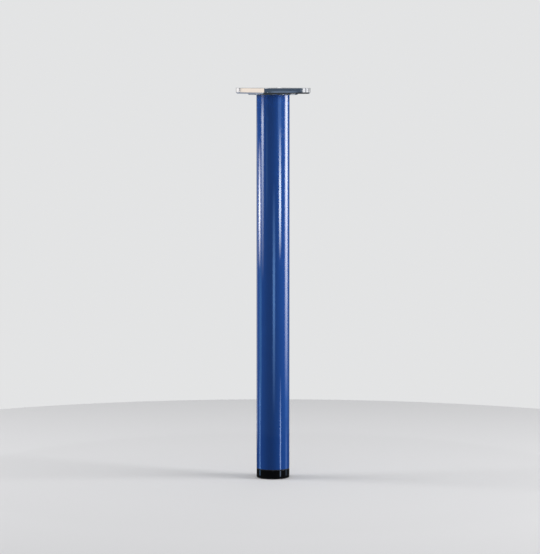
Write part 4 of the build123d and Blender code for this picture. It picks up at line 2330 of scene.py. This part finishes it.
    def glowing(self, screen: Piece, colour: Sequence[float]) -> Board:
        """Gives a stage object a material that only glows.

        Args:
            screen: the object, which lends the material its name.
            colour: light that it gives out.

        Returns:
            The material's board.
        """
        material = bpy.data.materials.new(screen.name)
        screen.data.materials.append(material)
        material.use_nodes = True
        board = Board(material.node_tree)
        board.group.nodes.clear()
        glow = board.node("ShaderNodeEmission", name="glow")
        board.wire((*colour, 1.0), glow.inputs["Color"])
        surface = board.node("ShaderNodeOutputMaterial", name="surface")
        board.wire(glow.outputs[0], surface.inputs[0])
        return board

    def set_card(self, index: int, card: Card) -> None:
        """Stands one card at its azimuth, brightest inside and fading out towards its edges.

        Args:
            index: number in its name.
            card: the card.
        """
        half = card.distance * math.tan(math.radians(card.width / 2))
        build = bmesh.new()
        corners = ((-half, card.low), (half, card.low), (half, card.high), (-half, card.high))
        build.faces.new([build.verts.new((x, 0, z)) for x, z in corners])
        screen = object_as_built(f"card_{index}", build)
        side = self.compass(card.azimuth + 90)
        screen.rotation_euler = (0, 0, math.atan2(side.y, side.x))
        screen.location = self.compass(card.azimuth) * card.distance
        board = self.glowing(screen, [card.glow * part for part in card.tint])
        split = board.node("ShaderNodeSeparateXYZ")
        board.wire(board.node("ShaderNodeTexCoord").outputs["Object"], split.inputs[0])
        across = board.math("ABSOLUTE", split.outputs[0])
        span = card.high - card.low
        side_mask = board.ramp(across, half, half * (1 - card.fade_side))
        low_mask = board.ramp(split.outputs[2], card.low, card.low + card.fade_low * span)
        high_mask = board.ramp(split.outputs[2], card.high, card.high - card.fade_high * span)
        mask = board.math("MULTIPLY", board.math("MULTIPLY", low_mask, high_mask), side_mask)
        blend = board.node("ShaderNodeMixShader")
        board.wire(mask, blend.inputs[0])
        board.wire(board.node("ShaderNodeBsdfTransparent").outputs[0], blend.inputs[1])
        board.wire(board.group.nodes["glow"].outputs[0], blend.inputs[2])
        board.wire(blend.outputs[0], board.group.nodes["surface"].inputs[0])
        self.show_in_gloss_only(screen)

    def set_cove(self) -> None:
        """Stands the dark cove and lays its darker ledge, which gloss shows between the cards."""
        foot = (self.cove_radius, self.ledge_lift)
        ledge = ((self.ledge_start, self.ledge_lift), foot)
        wall = (foot, (self.cove_radius, self.cove_height))
        for name, ends, colour in (
            ("cove_ledge", ledge, self.ledge_colour),
            ("cove_wall", wall, self.cove_colour),
        ):
            build = bmesh.new()
            turns = [math.tau * index / AROUND for index in range(AROUND)]
            rings = [
                [build.verts.new((radius * math.cos(t), radius * math.sin(t), z)) for t in turns]
                for radius, z in ends
            ]
            for index in range(AROUND):
                after = (index + 1) % AROUND
                corners = (rings[0][index], rings[0][after], rings[1][after], rings[1][index])
                build.faces.new(corners)
            screen = object_as_built(name, build)
            self.glowing(screen, colour)
            self.show_in_gloss_only(screen)

    def shown_rays(self, board: Board) -> Socket:
        """1 for rays that show the backdrop in view, in gloss or through glass, and 0 elsewhere."""
        path = board.node("ShaderNodeLightPath").outputs
        shown = board.math("ADD", path["Is Camera Ray"], path["Is Glossy Ray"])
        return board.math("ADD", shown, path["Is Transmission Ray"], clamp=True)

    def set_sky(self) -> None:
        """Makes the world a pale backdrop in view and in gloss, and a plain dim light elsewhere."""
        world = bpy.data.worlds.new("sky")
        bpy.context.scene.world = world
        world.use_nodes = True
        board = Board(world.node_tree)
        sky = world.node_tree.nodes["Background"]
        sky.inputs["Color"].default_value = (*self.backdrop, 1)
        level = board.math("MULTIPLY", self.shown_rays(board), 1 - self.sky_light)
        board.wire(board.math("ADD", level, self.sky_light), sky.inputs["Strength"])

    def set_floor(self) -> None:
        """Lays the round floor, pale wherever it shows and dark in the light it throws back."""
        build = bmesh.new()
        bmesh.ops.create_circle(build, cap_ends=True, radius=self.floor_radius, segments=256)
        floor = object_as_built("floor", build)
        surface = Surface("floor_pale", self.floor_colour)
        surface.set(Roughness=0.8, Specular_IOR_Level=0.1)
        surface.tint(surface.math("SUBTRACT", 1.0, self.shown_rays(surface)), self.floor_bounce)
        floor.data.materials.append(surface.material)

    def build(self) -> None:
        """Sets up the whole studio."""
        self.set_camera()
        self.set_sky()
        self.set_floor()
        self.set_cove()
        for index, lamp in enumerate(self.lamps):
            self.set_lamp(index, lamp)
        for index, card in enumerate(self.cards):
            self.set_card(index, card)
        bpy.context.scene.view_settings.view_transform = "Standard"


# ------------------------------------------------------------------ the whole leg


def main() -> None:
    """Builds the studio and every sub-assembly, and reports each piece."""
    logging.basicConfig(level=logging.INFO, format="%(name)s: %(message)s")
    Studio().build()
    shop = Workshop()
    screw_low, screw_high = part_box("clamp_screw")
    key_height = (screw_low.z + screw_high.z) / 2
    clamp, plug, foot = Clamp(), BottomPlug(), LevellingFoot()
    pieces = [
        LegTube().build(shop, key_height),
        MountingPlate().build(shop, key_height),
        clamp.build_jaw(shop),
        clamp.build_screw(shop),
        plug.build_plug(shop),
        plug.build_nut(shop),
        foot.build_cup(shop),
        foot.build_spindle(shop),
        foot.build_clip(shop),
        foot.build_glide(shop),
        foot.build_sole(shop),
    ]
    log.info("%d pieces", len(pieces))


if __name__ == "__main__":
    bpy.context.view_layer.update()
    main()
